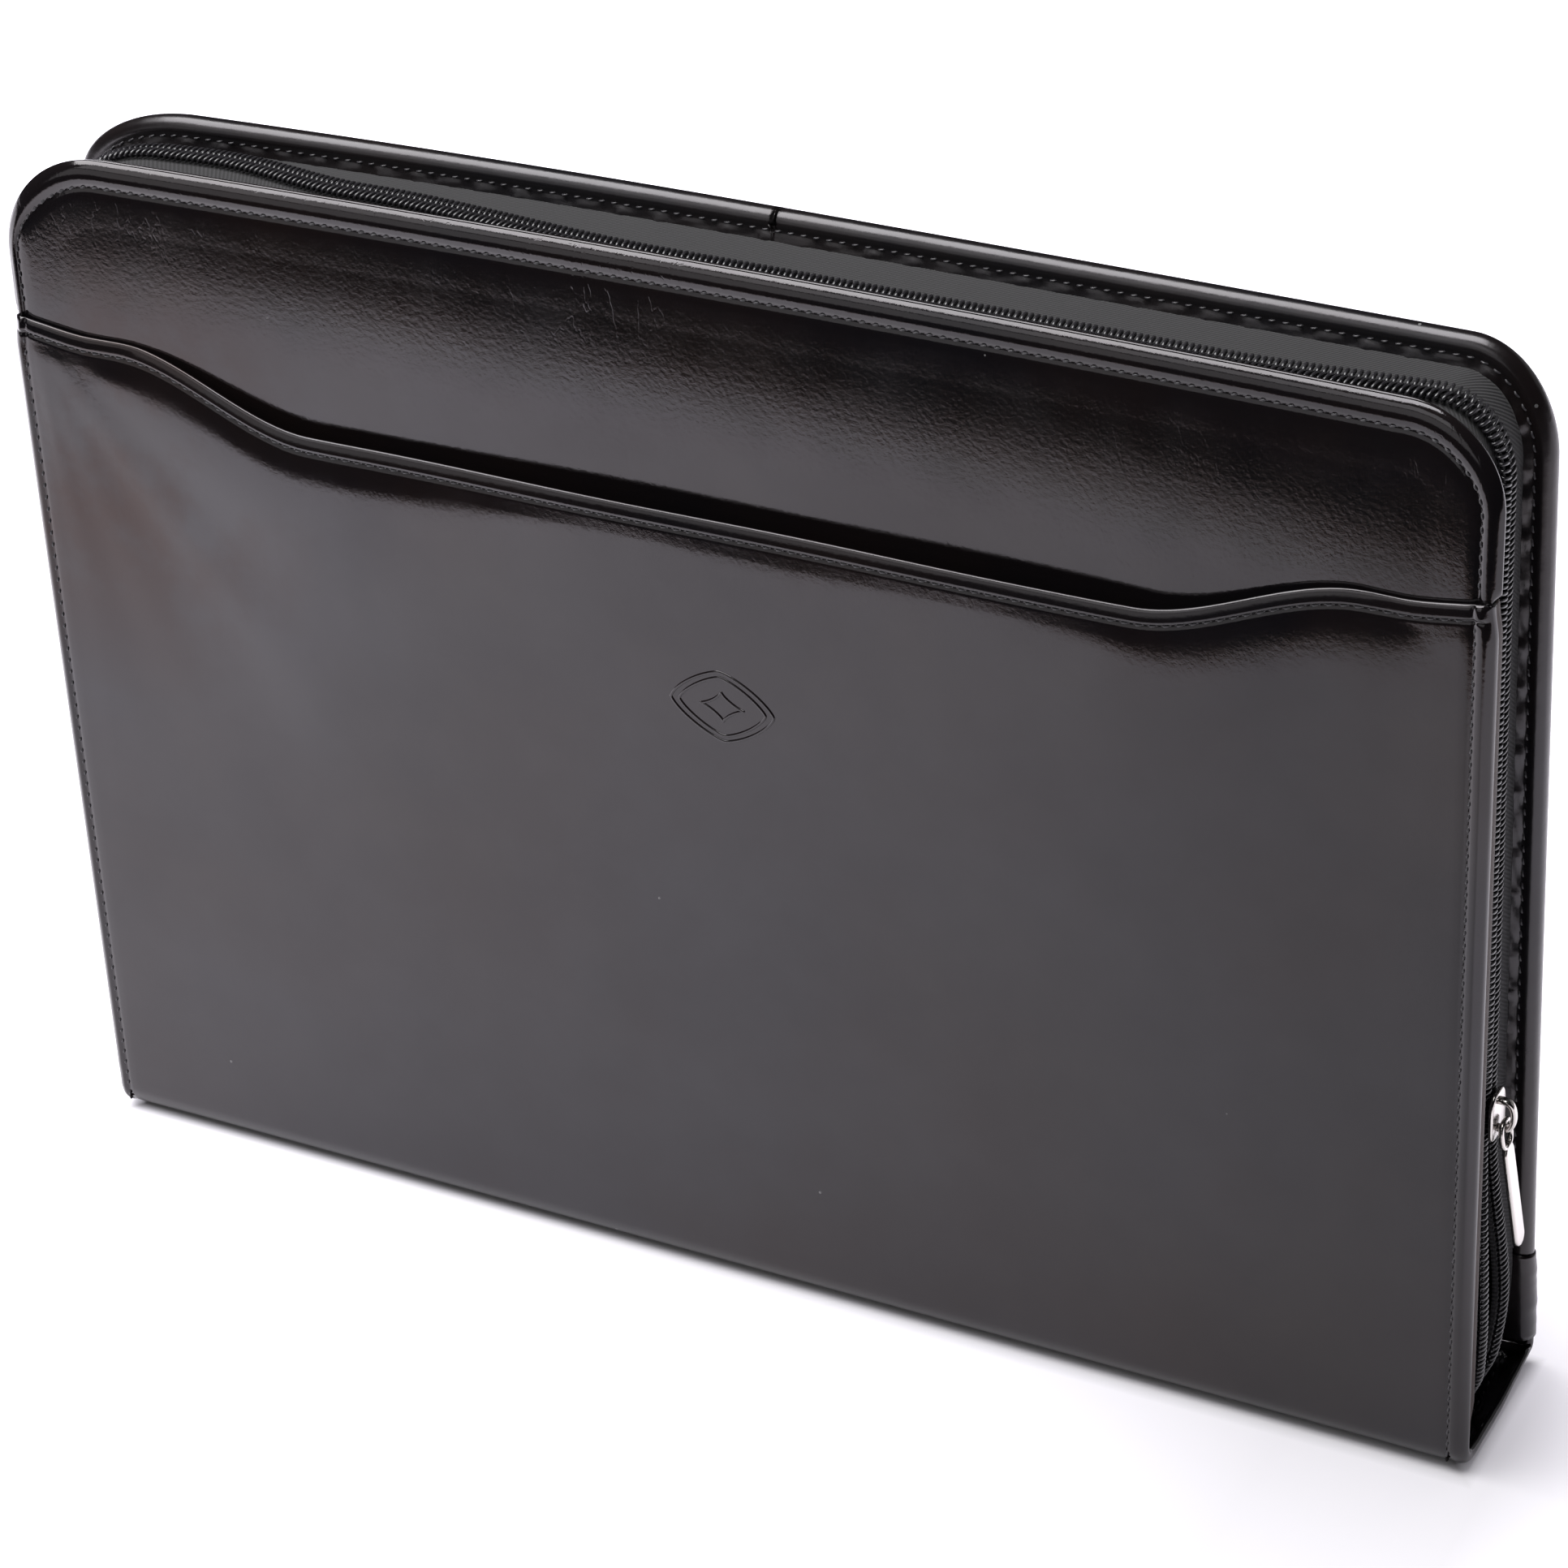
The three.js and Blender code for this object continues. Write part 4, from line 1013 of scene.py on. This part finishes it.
def zip_recess(z):
    """How deep the tapes lie below the rim; on the right they bulge below the slider and tuck in."""
    bulge = ease(SLIDER_FOOT, SPREAD_HEIGHT, z) - ease(SPREAD_HEIGHT, 0.0, z)
    right = TAPE_RECESS - FOOT_BULGE * np.clip(bulge, 0, 1) + FOOT_TUCK * ease(SPREAD_HEIGHT / 2, 0.0, z)
    return np.where(HAND > 0, right, TAPE_RECESS)


def zip_spread(z):
    """Half the opening between the two rows, which starts at the slider's wedge."""
    wedge = ease(SLIDER_HEIGHT, WEDGE_TOP, z) * (WEDGE["width"] / 2 + GAP)
    opened = ease(SLIDER_FOOT, SPREAD_HEIGHT, z) - ease(SPREAD_HEIGHT, 0.0, z)
    return np.where(HAND > 0, wedge + ROW_SPREAD * np.clip(opened, 0, 1), 0.0)


def zip_place(lift):
    """Both seams of the zip at every station for a lift above the tape, with its share and spread."""
    _, probe = outline(FRONT_EDGE, np.array([TAPE_RECESS]), TAPE_FOOT)
    inset = zip_recess(probe) - lift
    fx, fz = outline(FRONT_EDGE, inset, TAPE_FOOT)
    bx, bz = outline(BACK_EDGE, inset, TAPE_FOOT)
    facing_inner = FRONT_PANEL_INNER + GAP + FACING_WALL
    front = np.stack([fx, front_face(fx, fz) + facing_inner + SEAM_GAP, fz], axis=-1)[0]
    back = np.stack([bx, back_face(bx, bz) - BINDING_FULL - SEAM_GAP, bz], axis=-1)[0]
    return front, back, route_share(fx[0]), zip_spread(probe[0])


NEAR_FOOT = np.where(KIND == SIDE, 1 - SHARE, 0.0)


def across_zip(front, back, share):
    """A point at a share of the way from the front seam to the back one, set on the lifted spine."""
    point = front + (back - front) * share[..., None]
    towards_end = ease(HALF - SPINE["lift_length"], HALF, np.abs(point[..., 0]))
    lift = SPINE["lift"] * towards_end * np.clip(2 * point[..., 1] / DEPTH, 0.0, 1.0)
    point[..., 2] += lift * NEAR_FOOT
    return point


def beside_zip(lift, distance):
    """Points beside the zip's middle line at a distance towards the back."""
    front, back, share, _ = zip_place(lift)
    length = np.linalg.norm(back - front, axis=-1)
    return across_zip(front, back, np.clip(share + distance / length, 0, 1))


# %% The tapes
TAPE_ROWS = 15


def tape(side):
    """A tape from its seam at a panel to its edge under the coil, as two layers, with its flat
    coordinates in metres along and across."""
    shares = np.linspace(0, 1, TAPE_ROWS)[:, None, None]

    def layer(lift):
        front, back, share, spread = zip_place(lift)
        edge = beside_zip(lift, side * (spread + TAPE_EDGE_GAP))
        seam = across_zip(front, back, np.full(len(KIND), 0.0 if side < 0 else 1.0))
        return seam + (edge - seam) * shares

    outer, inner = layer(0.0), layer(-TAPE_WALL)
    walked = walked_along(outer[-1])
    wide = np.linalg.norm(outer - outer[-1:], axis=-1)
    flat = np.stack([np.broadcast_to(walked, wide.shape), wide], axis=-1).reshape(-1, 2)
    return wall(outer, inner), np.concatenate([flat, flat])


for side, tape_name, node in ((-1, "front_zip_tape", "front_tape"), (1, "back_zip_tape", "back_tape")):
    shape, flat = tape(side)
    make_piece(tape_name, shape, "tape", "case", instead_of=[node], flat=flat)

# %% [markdown]
# Each half of the zip is one long nylon wire, wound into a flattened helix. The two helices are half a
# turn apart, so that their loops lie between each other along the middle line.

# %% The coils
COIL_PITCH = 1.5 * MM
WIRE = 0.84 * MM
TURN_STEPS = 12
WIRE_SIDES = 6
LOOP_REACH = 1.75 * MM


def coil(side):
    """A helix along the row's middle line: across by LOOP_REACH times the cosine of the turn, up by
    half the row's height times its sine, one pitch a turn, swept with a round wire."""
    front, back, share, spread = zip_place(GAP)
    offset = side * (spread + GAP / 2 + ROW_WIDTH / 2)
    base = beside_zip(GAP, offset)
    lifted = beside_zip(GAP + ROW_HEIGHT, offset)
    across, up = unit(back - front), unit(lifted - base)
    walked = walked_along(base)
    turns = int(walked[-1] / COIL_PITCH) - 1
    phase = np.linspace(0, turns * 2 * math.pi, turns * TURN_STEPS + 1)
    place = 0.5 * COIL_PITCH * (side > 0) + phase / (2 * math.pi) * COIL_PITCH
    centre, sideways, upwards = (at_distance(place, walked, values) for values in (base, across, up))
    rise = (ROW_HEIGHT - WIRE) / 2
    path = (centre + sideways * (side * LOOP_REACH * np.cos(phase))[:, None]
            + upwards * (ROW_HEIGHT / 2 + rise * np.sin(phase))[:, None])
    ahead = unit(np.gradient(path, axis=0))
    along = np.cross(sideways, upwards)
    first = unit(along - ahead * (along * ahead).sum(-1)[:, None])
    second = np.cross(ahead, first)
    ring = np.linspace(0, 2 * math.pi, WIRE_SIDES, endpoint=False)[None, :, None]
    rings = path[:, None] + WIRE / 2 * (np.cos(ring) * first[:, None] + np.sin(ring) * second[:, None])
    return tube(rings)


make_piece("front_zip_coil", coil(-1), "coil", "case", instead_of=["front_coil"], weld=1e-6)
make_piece("back_zip_coil", coil(1), "coil", "case", instead_of=["back_coil"], weld=1e-6)

# %% [markdown]
# The slider is cast and then polished, so every edge is soft. A round-edged plate is a stack of rings:
# the same outline, drawn in a little near the top and the bottom.

# %% Rounded plates and bars
slider_low, slider_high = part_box("zip_slider")
PLATE_WALL = 1.2 * MM
OUTER_PLATE = ROW_HEIGHT + 2 * GAP
INNER_PLATE = -(TAPE_WALL + GAP + PLATE_WALL)
SEAT = np.array([slider_low.x - INNER_PLATE, (slider_low.y + slider_high.y) / 2,
                 slider_low.z + SLIDER_LENGTH / 2]) - MIDDLE


def shrunk(loop, by):
    """A loop of points in a plane, moved inwards along its own normals."""
    ahead = unit(np.roll(loop, -1, axis=0) - np.roll(loop, 1, axis=0))
    return loop + by * np.stack([-ahead[:, 1], ahead[:, 0]], axis=-1)


def soft_plate(loop, low, high, soft):
    """A plate between two levels with quarter-round edges. The loop runs anticlockwise."""
    turn = np.linspace(0, math.pi / 2, 5)
    rows = [(low + soft * (1 - math.sin(a)), soft * (1 - math.cos(a))) for a in turn[::-1]]
    rows += [(high - soft * (1 - math.sin(a)), soft * (1 - math.cos(a))) for a in turn]
    rings = np.stack([
        np.concatenate([np.full((len(loop), 1), level), shrunk(loop, by)], axis=1) for level, by in rows
    ])
    return tube(rings)


def slider_outline(count=72):
    """The slider from outside: a blunt foot, straight sides and a rounded point at the top."""
    half, long = 4.5 * MM, SLIDER_LENGTH / 2
    angle = np.linspace(0, 2 * math.pi, count, endpoint=False)
    wide = half * np.sign(np.cos(angle)) * np.abs(np.cos(angle)) ** 0.45
    high = long * np.sign(np.sin(angle)) * np.abs(np.sin(angle)) ** np.where(np.sin(angle) > 0, 0.95, 0.4)
    return np.stack([wide, high], axis=-1)


def swept(path, widths, depths, side_axis, count=16, power=0.6, closed_path=False):
    """A bar along a path with a soft rectangular section: a superellipse with a width along one axis
    and a depth at right angles to it."""
    ahead = np.gradient(path, axis=0)
    if closed_path:
        ahead = np.roll(path, -1, axis=0) - np.roll(path, 1, axis=0)
    ahead = unit(ahead)
    second = unit(np.cross(ahead, side_axis))
    angle = np.linspace(0, 2 * math.pi, count, endpoint=False)
    c = np.sign(np.cos(angle)) * np.abs(np.cos(angle)) ** power
    s = np.sign(np.sin(angle)) * np.abs(np.sin(angle)) ** power
    rings = (path[:, None] + (widths / 2)[:, None, None] * c[None, :, None] * side_axis
             + (depths / 2)[:, None, None] * s[None, :, None] * second[:, None])
    if not closed_path:
        return tube(rings)
    rings = np.concatenate([rings, rings[:1]])
    return rings.reshape(-1, 3), ring_faces(len(rings), count)


# %% [markdown]
# A small stamped ornament decorates the pocket: two nested lozenges with hollow sides round a star
# with four points. The stamp leaves thin ridges, so each line is a fine bar that is half sunk into
# the leather.

# %% The stamped ornament
ORNAMENT = {"x": 2 * MM, "z": 164 * MM, "wide": 13.2 * MM, "high": 9.4 * MM}
RIDGE_WIDTH = 0.75 * MM
RIDGE_HEIGHT = 0.55 * MM


def lozenge(size, hollow, count=160):
    """A closed loop with four points: |cos|^hollow across and |sin|^hollow up, times its size."""
    angle = np.linspace(0, 2 * math.pi, count, endpoint=False)
    x = size * ORNAMENT["wide"] * np.sign(np.cos(angle)) * np.abs(np.cos(angle)) ** hollow
    z = size * ORNAMENT["high"] * np.sign(np.sin(angle)) * np.abs(np.sin(angle)) ** hollow
    return ORNAMENT["x"] + x, ORNAMENT["z"] + z


def ornament():
    """Ridges along the three loops, laid on the pocket's surface."""
    parts = []
    for size, hollow in ((1.0, 1.45), (0.84, 1.5), (0.42, 2.6)):
        x, z = lozenge(size, hollow)
        path = np.stack([x, pocket_front(x, z), z], axis=-1)
        across = swept(path, np.full(len(x), RIDGE_HEIGHT), np.full(len(x), RIDGE_WIDTH),
                       np.array([0.0, 1.0, 0.0]), count=10, power=1.0, closed_path=True)
        parts.append(across)
    return joined(parts)


make_piece("stamped_ornament", ornament(), "leather", "case", weld=1e-7)

# %% The slider
CROWN_RISE = 4.2 * MM
CROWN_LENGTH = 9 * MM
CROWN_BAR = 1.4 * MM
CROWN_WIDTH = 2.2 * MM


def crown():
    """An arched bridge on the outer plate: a D-shaped path that starts and ends inside the plate."""
    share = np.linspace(0, 1, 40)
    level = OUTER_PLATE + PLATE_WALL / 2
    reach = CROWN_RISE + PLATE_WALL / 2 - CROWN_BAR / 2
    angle = math.pi * share
    out = level + reach * np.sin(angle) ** 0.42
    up = (CROWN_LENGTH - CROWN_BAR) / 2 * -np.cos(angle)
    path = np.stack([out, 0 * out, up], axis=-1)
    widths = CROWN_WIDTH * (1 - 0.25 * np.sin(angle))
    return swept(path, widths, np.full(40, CROWN_BAR), np.array([0.0, 1.0, 0.0]))


def slider():
    """Two plates with turned-in lips, the wedge between them and the crown."""
    loop = slider_outline()
    outer = soft_plate(loop, OUTER_PLATE, OUTER_PLATE + PLATE_WALL, 0.5 * MM)
    inner = soft_plate(loop, INNER_PLATE, INNER_PLATE + PLATE_WALL, 0.4 * MM)
    wedge_path = np.stack([np.linspace(INNER_PLATE + 0.3 * MM, OUTER_PLATE + 0.5 * MM, 6), np.zeros(6),
                           np.full(6, -SLIDER_LENGTH / 2 + WEDGE["length"] / 2)], axis=-1)
    wedge = swept(wedge_path, np.full(6, WEDGE["width"]), np.full(6, WEDGE["length"]),
                  np.array([0.0, 1.0, 0.0]))
    points, faces = joined([outer, inner, wedge, crown()])
    return points + SEAT, faces


make_piece("slider_body", slider(), "nickel", "case", instead_of=["zip_slider"], weld=1e-6)

# %% [markdown]
# The pull is a flat bar with a round end that hangs from an eye. The eye passes under the crown, and
# the pull turns about the eye's upper bar, so it rides on its own body.

# %% The pull
PIN = np.array(frame["joints"][0]["pos_m"]) - MIDDLE
PULL_TILT = math.radians(8)
EYE_WIDTH, EYE_BAR, EYE_OPENING = 6.6 * MM, 1.1 * MM, 6.2 * MM
PULL_WIDTH, PULL_WALL, PULL_LENGTH = 5 * MM, 1.5 * MM, 26 * MM


def pull():
    """The eye as a closed rounded loop, and the bar as flat sections whose width follows a neck, a
    straight stretch and a half-round end. Both hang along -z and are tilted about the pin."""
    angle = np.linspace(0, 2 * math.pi, 64, endpoint=False)
    half_wide, half_high = (EYE_WIDTH - EYE_BAR) / 2, EYE_OPENING / 2 + 0.1 * MM
    eye = np.stack([
        0 * angle,
        half_wide * np.sign(np.cos(angle)) * np.abs(np.cos(angle)) ** 0.62,
        -half_high + half_high * np.sign(np.sin(angle)) * np.abs(np.sin(angle)) ** 0.75,
    ], axis=-1)
    ring = swept(eye, np.full(64, PULL_WALL * 0.85), np.full(64, EYE_BAR), np.array([1.0, 0.0, 0.0]),
                 power=0.85, closed_path=True)
    drop = np.linspace(0, 1, 60)
    neck = 2.2 * MM
    length = PULL_LENGTH + 1.4 * MM
    down = drop * length
    to_end = np.clip((length - down) / (PULL_WIDTH / 2), 0, 1)
    width = PULL_WIDTH * (0.62 + 0.38 * ease(0.0, neck, down)) * np.sqrt(1 - (1 - to_end) ** 2) + 0.02 * MM
    path = np.stack([0 * down, 0 * down, -EYE_OPENING + 0.4 * MM - down], axis=-1)
    bar = swept(path, width, PULL_WALL * (0.55 + 0.45 * np.sqrt(to_end)), np.array([0.0, 1.0, 0.0]),
                count=24, power=0.45)
    points, faces = joined([ring, bar])
    turn = np.array([[math.cos(PULL_TILT), 0, -math.sin(PULL_TILT)], [0, 1, 0],
                     [math.sin(PULL_TILT), 0, math.cos(PULL_TILT)]])
    return points @ turn.T + PIN, faces


make_piece("hanging_pull", pull(), "nickel", "pull", instead_of=["zip_pull"], weld=1e-6)

# %% [markdown]
# Stitches are short bars of thread, a few faces each, sunk into their grooves. One function lays them along
# any line: it walks the line in steps of the stitch pitch and leans each stitch a little. The needle's holes
# are dark bars that the same function lays between the stitches, and their darkness is painted shade for the
# holes.

# %% Rows of stitches
STITCH_PITCH = 3.2 * MM
THREAD = 0.55 * MM
STITCH = {"length": 2.0 * MM, "at": [-1.0, -0.8, -0.4, 0.0, 0.4, 0.8, 1.0], "sides": 6, "phase": 0.5,
          "thick": [0.25, 0.75, 1.0, 1.0, 1.0, 0.75, 0.25],
          "rise": [-0.6, -0.2, 0.28, 0.38, 0.28, -0.2, -0.6]}
HOLE = {"length": 1.5 * MM, "at": [-1.0, -0.5, 0.5, 1.0], "sides": 5, "phase": 0.0,
        "thick": [0.5, 1.45, 1.45, 0.5], "rise": [-0.5, -0.5, -0.5, -0.5]}


def stitches(line, outwards, lean=0.16, bar=STITCH):
    """Bars on a line of points, one for each step: a tube whose thickness and height over the leather
    are listed as shares of the thread. lean turns it in the surface, and phase is its place in the
    step, so that stitches and the needle's holes between them come from the same line."""
    walked = walked_along(line)
    count = int(walked[-1] / STITCH_PITCH)
    middle = (np.arange(count) + bar["phase"]) * walked[-1] / count
    centre, out = at_distance(middle, walked, line), unit(at_distance(middle, walked, outwards))
    ahead = unit(at_distance(middle + 0.3 * MM, walked, line) - at_distance(middle - 0.3 * MM, walked, line))
    aside = np.cross(out, ahead)
    share = np.array(bar["at"]) * bar["length"] / 2
    thick = THREAD / 2 * np.array(bar["thick"])
    path = (centre[:, None] + ahead[:, None] * share[None, :, None]
            + aside[:, None] * (share * lean)[None, :, None]
            + out[:, None] * (THREAD * np.array(bar["rise"]))[None, :, None])
    angle = np.linspace(0, 2 * math.pi, bar["sides"], endpoint=False)
    rings = (path[:, :, None] + thick[None, :, None, None] * (
        np.cos(angle)[None, None, :, None] * aside[:, None, None]
        + np.sin(angle)[None, None, :, None] * out[:, None, None]))
    return [tube(one) for one in rings]


def rim_line(edge, inset, foot, depth):
    """Points round an outline at one inset, with the depth given by a function of x and z."""
    x, z = outline(edge, np.atleast_2d(inset), foot)
    return np.stack([x[0], depth(x[0], z[0]), z[0]], axis=-1)


FACE_OUT = np.array([0.0, -1.0, 0.0])
BACK_OUT = np.array([0.0, 1.0, 0.0])
FLOOR_OUT = np.array([0.0, 0.0, 1.0])
panel_line = rim_line(FRONT_EDGE, seam_inset(FRONT_EDGE, PANEL_FOOT), PANEL_FOOT,
                      lambda x, z: front_face(x, z) + FRONT_PANEL_FACE - seam_relief(STITCH_INSET))
panel_line = panel_line[panel_line[:, 2] > mouth_height(panel_line[:, 0]) + 1.5 * MM]
hem_x = np.linspace(-(HALF - 5.5 * MM), HALF - 6.5 * MM, 400)
hem_z = mouth_height(hem_x) - HEM_STITCH
seam_lines = [(panel_line, FACE_OUT, 0.16),
              (np.stack([hem_x, pocket_front(hem_x, hem_z), hem_z], axis=-1), FACE_OUT, 0.16)]
for hand in (-1, 1):
    side_z = np.linspace(3.5 * MM, MOUTH["side"] - 4.5 * MM, 200)
    side_x = np.full(200, hand * (HALF - SIDE_INSET[hand]))
    seam_lines.append((np.stack([side_x, pocket_front(side_x, side_z), side_z], axis=-1), FACE_OUT, -0.16))
    floor_y = np.linspace(-DEPTH / 2 + SPINE["front"] + 2 * MM, DEPTH / 2 - 6 * MM, 60)
    floor_x = np.full(60, hand * (HALF - 5.6 * MM))
    floor_z = SPINE_WALL + spine_lift(floor_x, floor_y, SPINE_WALL + 0 * floor_y)
    seam_lines.append((np.stack([floor_x, floor_y, floor_z], axis=-1), FLOOR_OUT, 0.16))
front_rows, front_holes = [], []
for line, out, lean in seam_lines:
    front_rows += stitches(line, np.broadcast_to(out, line.shape), lean)
    front_holes += stitches(line, np.broadcast_to(out, line.shape), lean, HOLE)
make_piece("front_stitches", joined(front_rows), "thread", "case", weld=1e-7)
make_piece("front_hole_shade_bars", joined(front_holes), "painted hole shade", "case", weld=1e-7)

inner_line = rim_line(BACK_EDGE, BINDING_FULL / 2 + BINDING_STITCH, BACK_FOOT + 6 * MM,
                      lambda x, z: back_face(x, z) - BINDING_FULL + 0.2 * MM)
outer_line = rim_line(BACK_EDGE, BINDING_WIDTH - 2 * MM, BACK_FOOT + 2 * MM,
                      lambda x, z: back_face(x, z))
back_rows = stitches(inner_line, np.broadcast_to(FACE_OUT, inner_line.shape))
back_rows += stitches(outer_line, np.broadcast_to(BACK_OUT, outer_line.shape))
make_piece("back_stitches", joined(back_rows), "thread", "case", weld=1e-7)

# %% [markdown]
# The case stands on a pale floor that ends a little way in front of it. The polished front mirrors that
# floor as grey, and above it the dark room beyond its end, as a photographer's table does. The floor glows
# as painted light. The glow is brighter towards the left and beside and behind the case. It stops under the
# case and in a thin strip at its foot, which is a painted contact shadow. A glowing brownish strip along the
# floor's front end is hidden from the camera, and it is a painted reflection in the polish.

# %% The floor
FLOOR_EDGE = [(-2.6, -0.53), (-0.62, -0.54), (-0.39, -0.545), (-0.27, -0.525), (-0.15, -0.50),
              (-0.08, -0.475), (0.0, -0.445), (0.3, -0.365), (2.6, -0.365)]
PAINTED_REFLECTION_WIDTH = 0.022
PAINTED_FOOT_SHADOW = 0.0045


def sheet(name, corners, height, material, seen=True):
    """One flat face that shows the studio and isn't part of the case. Where it isn't seen by the
    camera, it still shows in the polish."""
    mesh = bpy.data.meshes.new(name)
    mesh.from_pydata([(x, y, height) for x, y in corners], [], [tuple(range(len(corners)))])
    mesh.materials.append(material)
    made = bpy.data.objects.new(name, mesh)
    made.visible_camera = seen
    bpy.context.scene.collection.objects.link(made)


floor = Finish("floor", (0.41, 0.403, 0.414), 0.8)
floor_split = floor.node("ShaderNodeSeparateXYZ", Vector=floor.object_place())
# Painted light: the floor's glow is stronger towards the left, behind the case and beside it on the right.
painted_light_towards_left = floor.spread(floor_split.outputs["X"], -0.32, 0.14, 1.5, 0.33)
behind = floor.spread(floor_split.outputs["Y"], -0.02, 0.10, 0.0, 0.6)
beside = floor.spread(floor_split.outputs["X"], 0.19, 0.26, 0.0, 0.6)
glow = floor.calc("ADD", floor.calc("ADD", painted_light_towards_left, behind), beside)
# Painted contact shadow: the glow fades out across the case's foot line and is off beneath the case.
aside = floor.calc("ABSOLUTE", floor_split.outputs["X"])
away = floor.calc("ABSOLUTE", floor_split.outputs["Y"])
clear_of_painted_shadow_aside = floor.spread(aside, HALF - PAINTED_FOOT_SHADOW, HALF + 0.002)
clear_of_painted_shadow_away = floor.spread(away, DEPTH / 2 - PAINTED_FOOT_SHADOW, DEPTH / 2 + 0.0025)
clear_of_painted_foot_shadow = floor.calc("MAXIMUM", clear_of_painted_shadow_aside, clear_of_painted_shadow_away)
floor.join(floor.calc("MULTIPLY", glow, clear_of_painted_foot_shadow), "Emission Strength")
floor.shader.inputs["Emission Color"].default_value = (1.0, 0.965, 1.06, 1)
# Painted reflection: this strip glows brownish just beyond the floor's front end and is hidden from the
# camera, so it shows only as a brown band in the polish.
painted_edge_reflection = Finish("painted edge reflection", (0.26, 0.17, 0.14), 0.8)
painted_edge_reflection.shader.inputs["Emission Color"].default_value = (1.0, 0.6, 0.45, 1)
painted_edge_reflection.shader.inputs["Emission Strength"].default_value = 0.2
sheet("floor", FLOOR_EDGE + [(2.6, 3.4), (-2.6, 3.4)], -0.0002, floor.material)
painted_reflection_outline = [(x, y - PAINTED_REFLECTION_WIDTH) for x, y in FLOOR_EDGE] + FLOOR_EDGE[::-1]
sheet("painted_edge_reflection_strip", painted_reflection_outline, -0.0002, painted_edge_reflection.material, seen=False)

# %% [markdown]
# Four soft lamps light the case: one overhead, two in front and a weak one behind. The room is dark in
# the polish and white to the camera, so the background stays clean.

# %% The lights
scene = bpy.context.scene
scene.view_settings.view_transform = "Standard"
world = bpy.data.worlds.new("room")
world.use_nodes = True
scene.world = world
sky = world.node_tree
background = sky.nodes["Background"]
ray = sky.nodes.new("ShaderNodeLightPath")
tone = sky.nodes.new("ShaderNodeMix")
tone.data_type = "RGBA"
tone.inputs[6].default_value = (0.008, 0.008, 0.009, 1)
tone.inputs[7].default_value = (1.0, 1.0, 1.0, 1)
sky.links.new(ray.outputs["Is Camera Ray"], tone.inputs[0])
sky.links.new(tone.outputs[2], background.inputs["Color"])


def stand(made, right, up, back, place):
    """Puts an object at a place, with its own three directions."""
    rows = [[right[k], up[k], back[k], place[k]] for k in range(3)]
    made.matrix_world = Matrix(rows + [[0, 0, 0, 1]])
    bpy.context.scene.collection.objects.link(made)


def softbox(name, place, aim, size, radiance):
    """A rectangular lamp at a place, turned towards a point. Its power is pi times its area times
    the brightness that its surface should have."""
    lamp = bpy.data.lights.new(name, "AREA")
    lamp.shape = "RECTANGLE"
    lamp.size, lamp.size_y = size
    lamp.energy = math.pi * size[0] * size[1] * radiance
    made = bpy.data.objects.new(name, lamp)
    place, aim = np.array(place, float), np.array(aim, float)
    back = (place - aim) / np.linalg.norm(place - aim)
    side = np.cross([0.0, 1.0, 0.0] if abs(back[1]) < 0.7 else [0.0, 0.0, 1.0], back)
    side /= np.linalg.norm(side)
    up = np.cross(back, side)
    stand(made, side, up, back, place)


softbox("overhead", (-0.55, -0.15, 1.7), (-0.1, -0.1, 0.0), (1.9, 1.3), 10.0)
softbox("front_glow", (-0.8, -2.4, 2.1), (0.0, 0.0, 0.1), (3.0, 1.4), 1.6)
softbox("low_glow", (-0.9, -2.9, 0.75), (0.0, 0.0, 0.25), (3.2, 1.2), 0.8)
softbox("behind_glow", (1.1, 1.3, 0.55), (0.1, 0.0, 0.1), (1.6, 0.9), 0.3)
print("lamps:", len(bpy.data.lights))

# %% [markdown]
# The camera stands where the photographer stood: to the right of the case, well above it, with a long lens.
# Its three directions are listed as numbers, and they hold a little roll.

# %% The camera
LENS_MM = 112.7
CAMERA_PLACE = np.array([475.39, -858.11, 734.65]) * MM
RIGHT = np.array([0.88911, 0.45526, -0.04717])
DOWN = np.array([0.20393, -0.48631, -0.84966])
AHEAD = np.array([-0.40975, 0.74582, -0.52522])


def camera():
    """A camera with its axes set from the directions to the right, down and ahead."""
    lens = bpy.data.cameras.new("camera")
    lens.sensor_width = 36.0
    lens.lens = LENS_MM
    lens.clip_end = 50
    made = bpy.data.objects.new("camera", lens)
    stand(made, RIGHT, -DOWN, -AHEAD, CAMERA_PLACE + MIDDLE)
    bpy.context.scene.camera = made


camera()
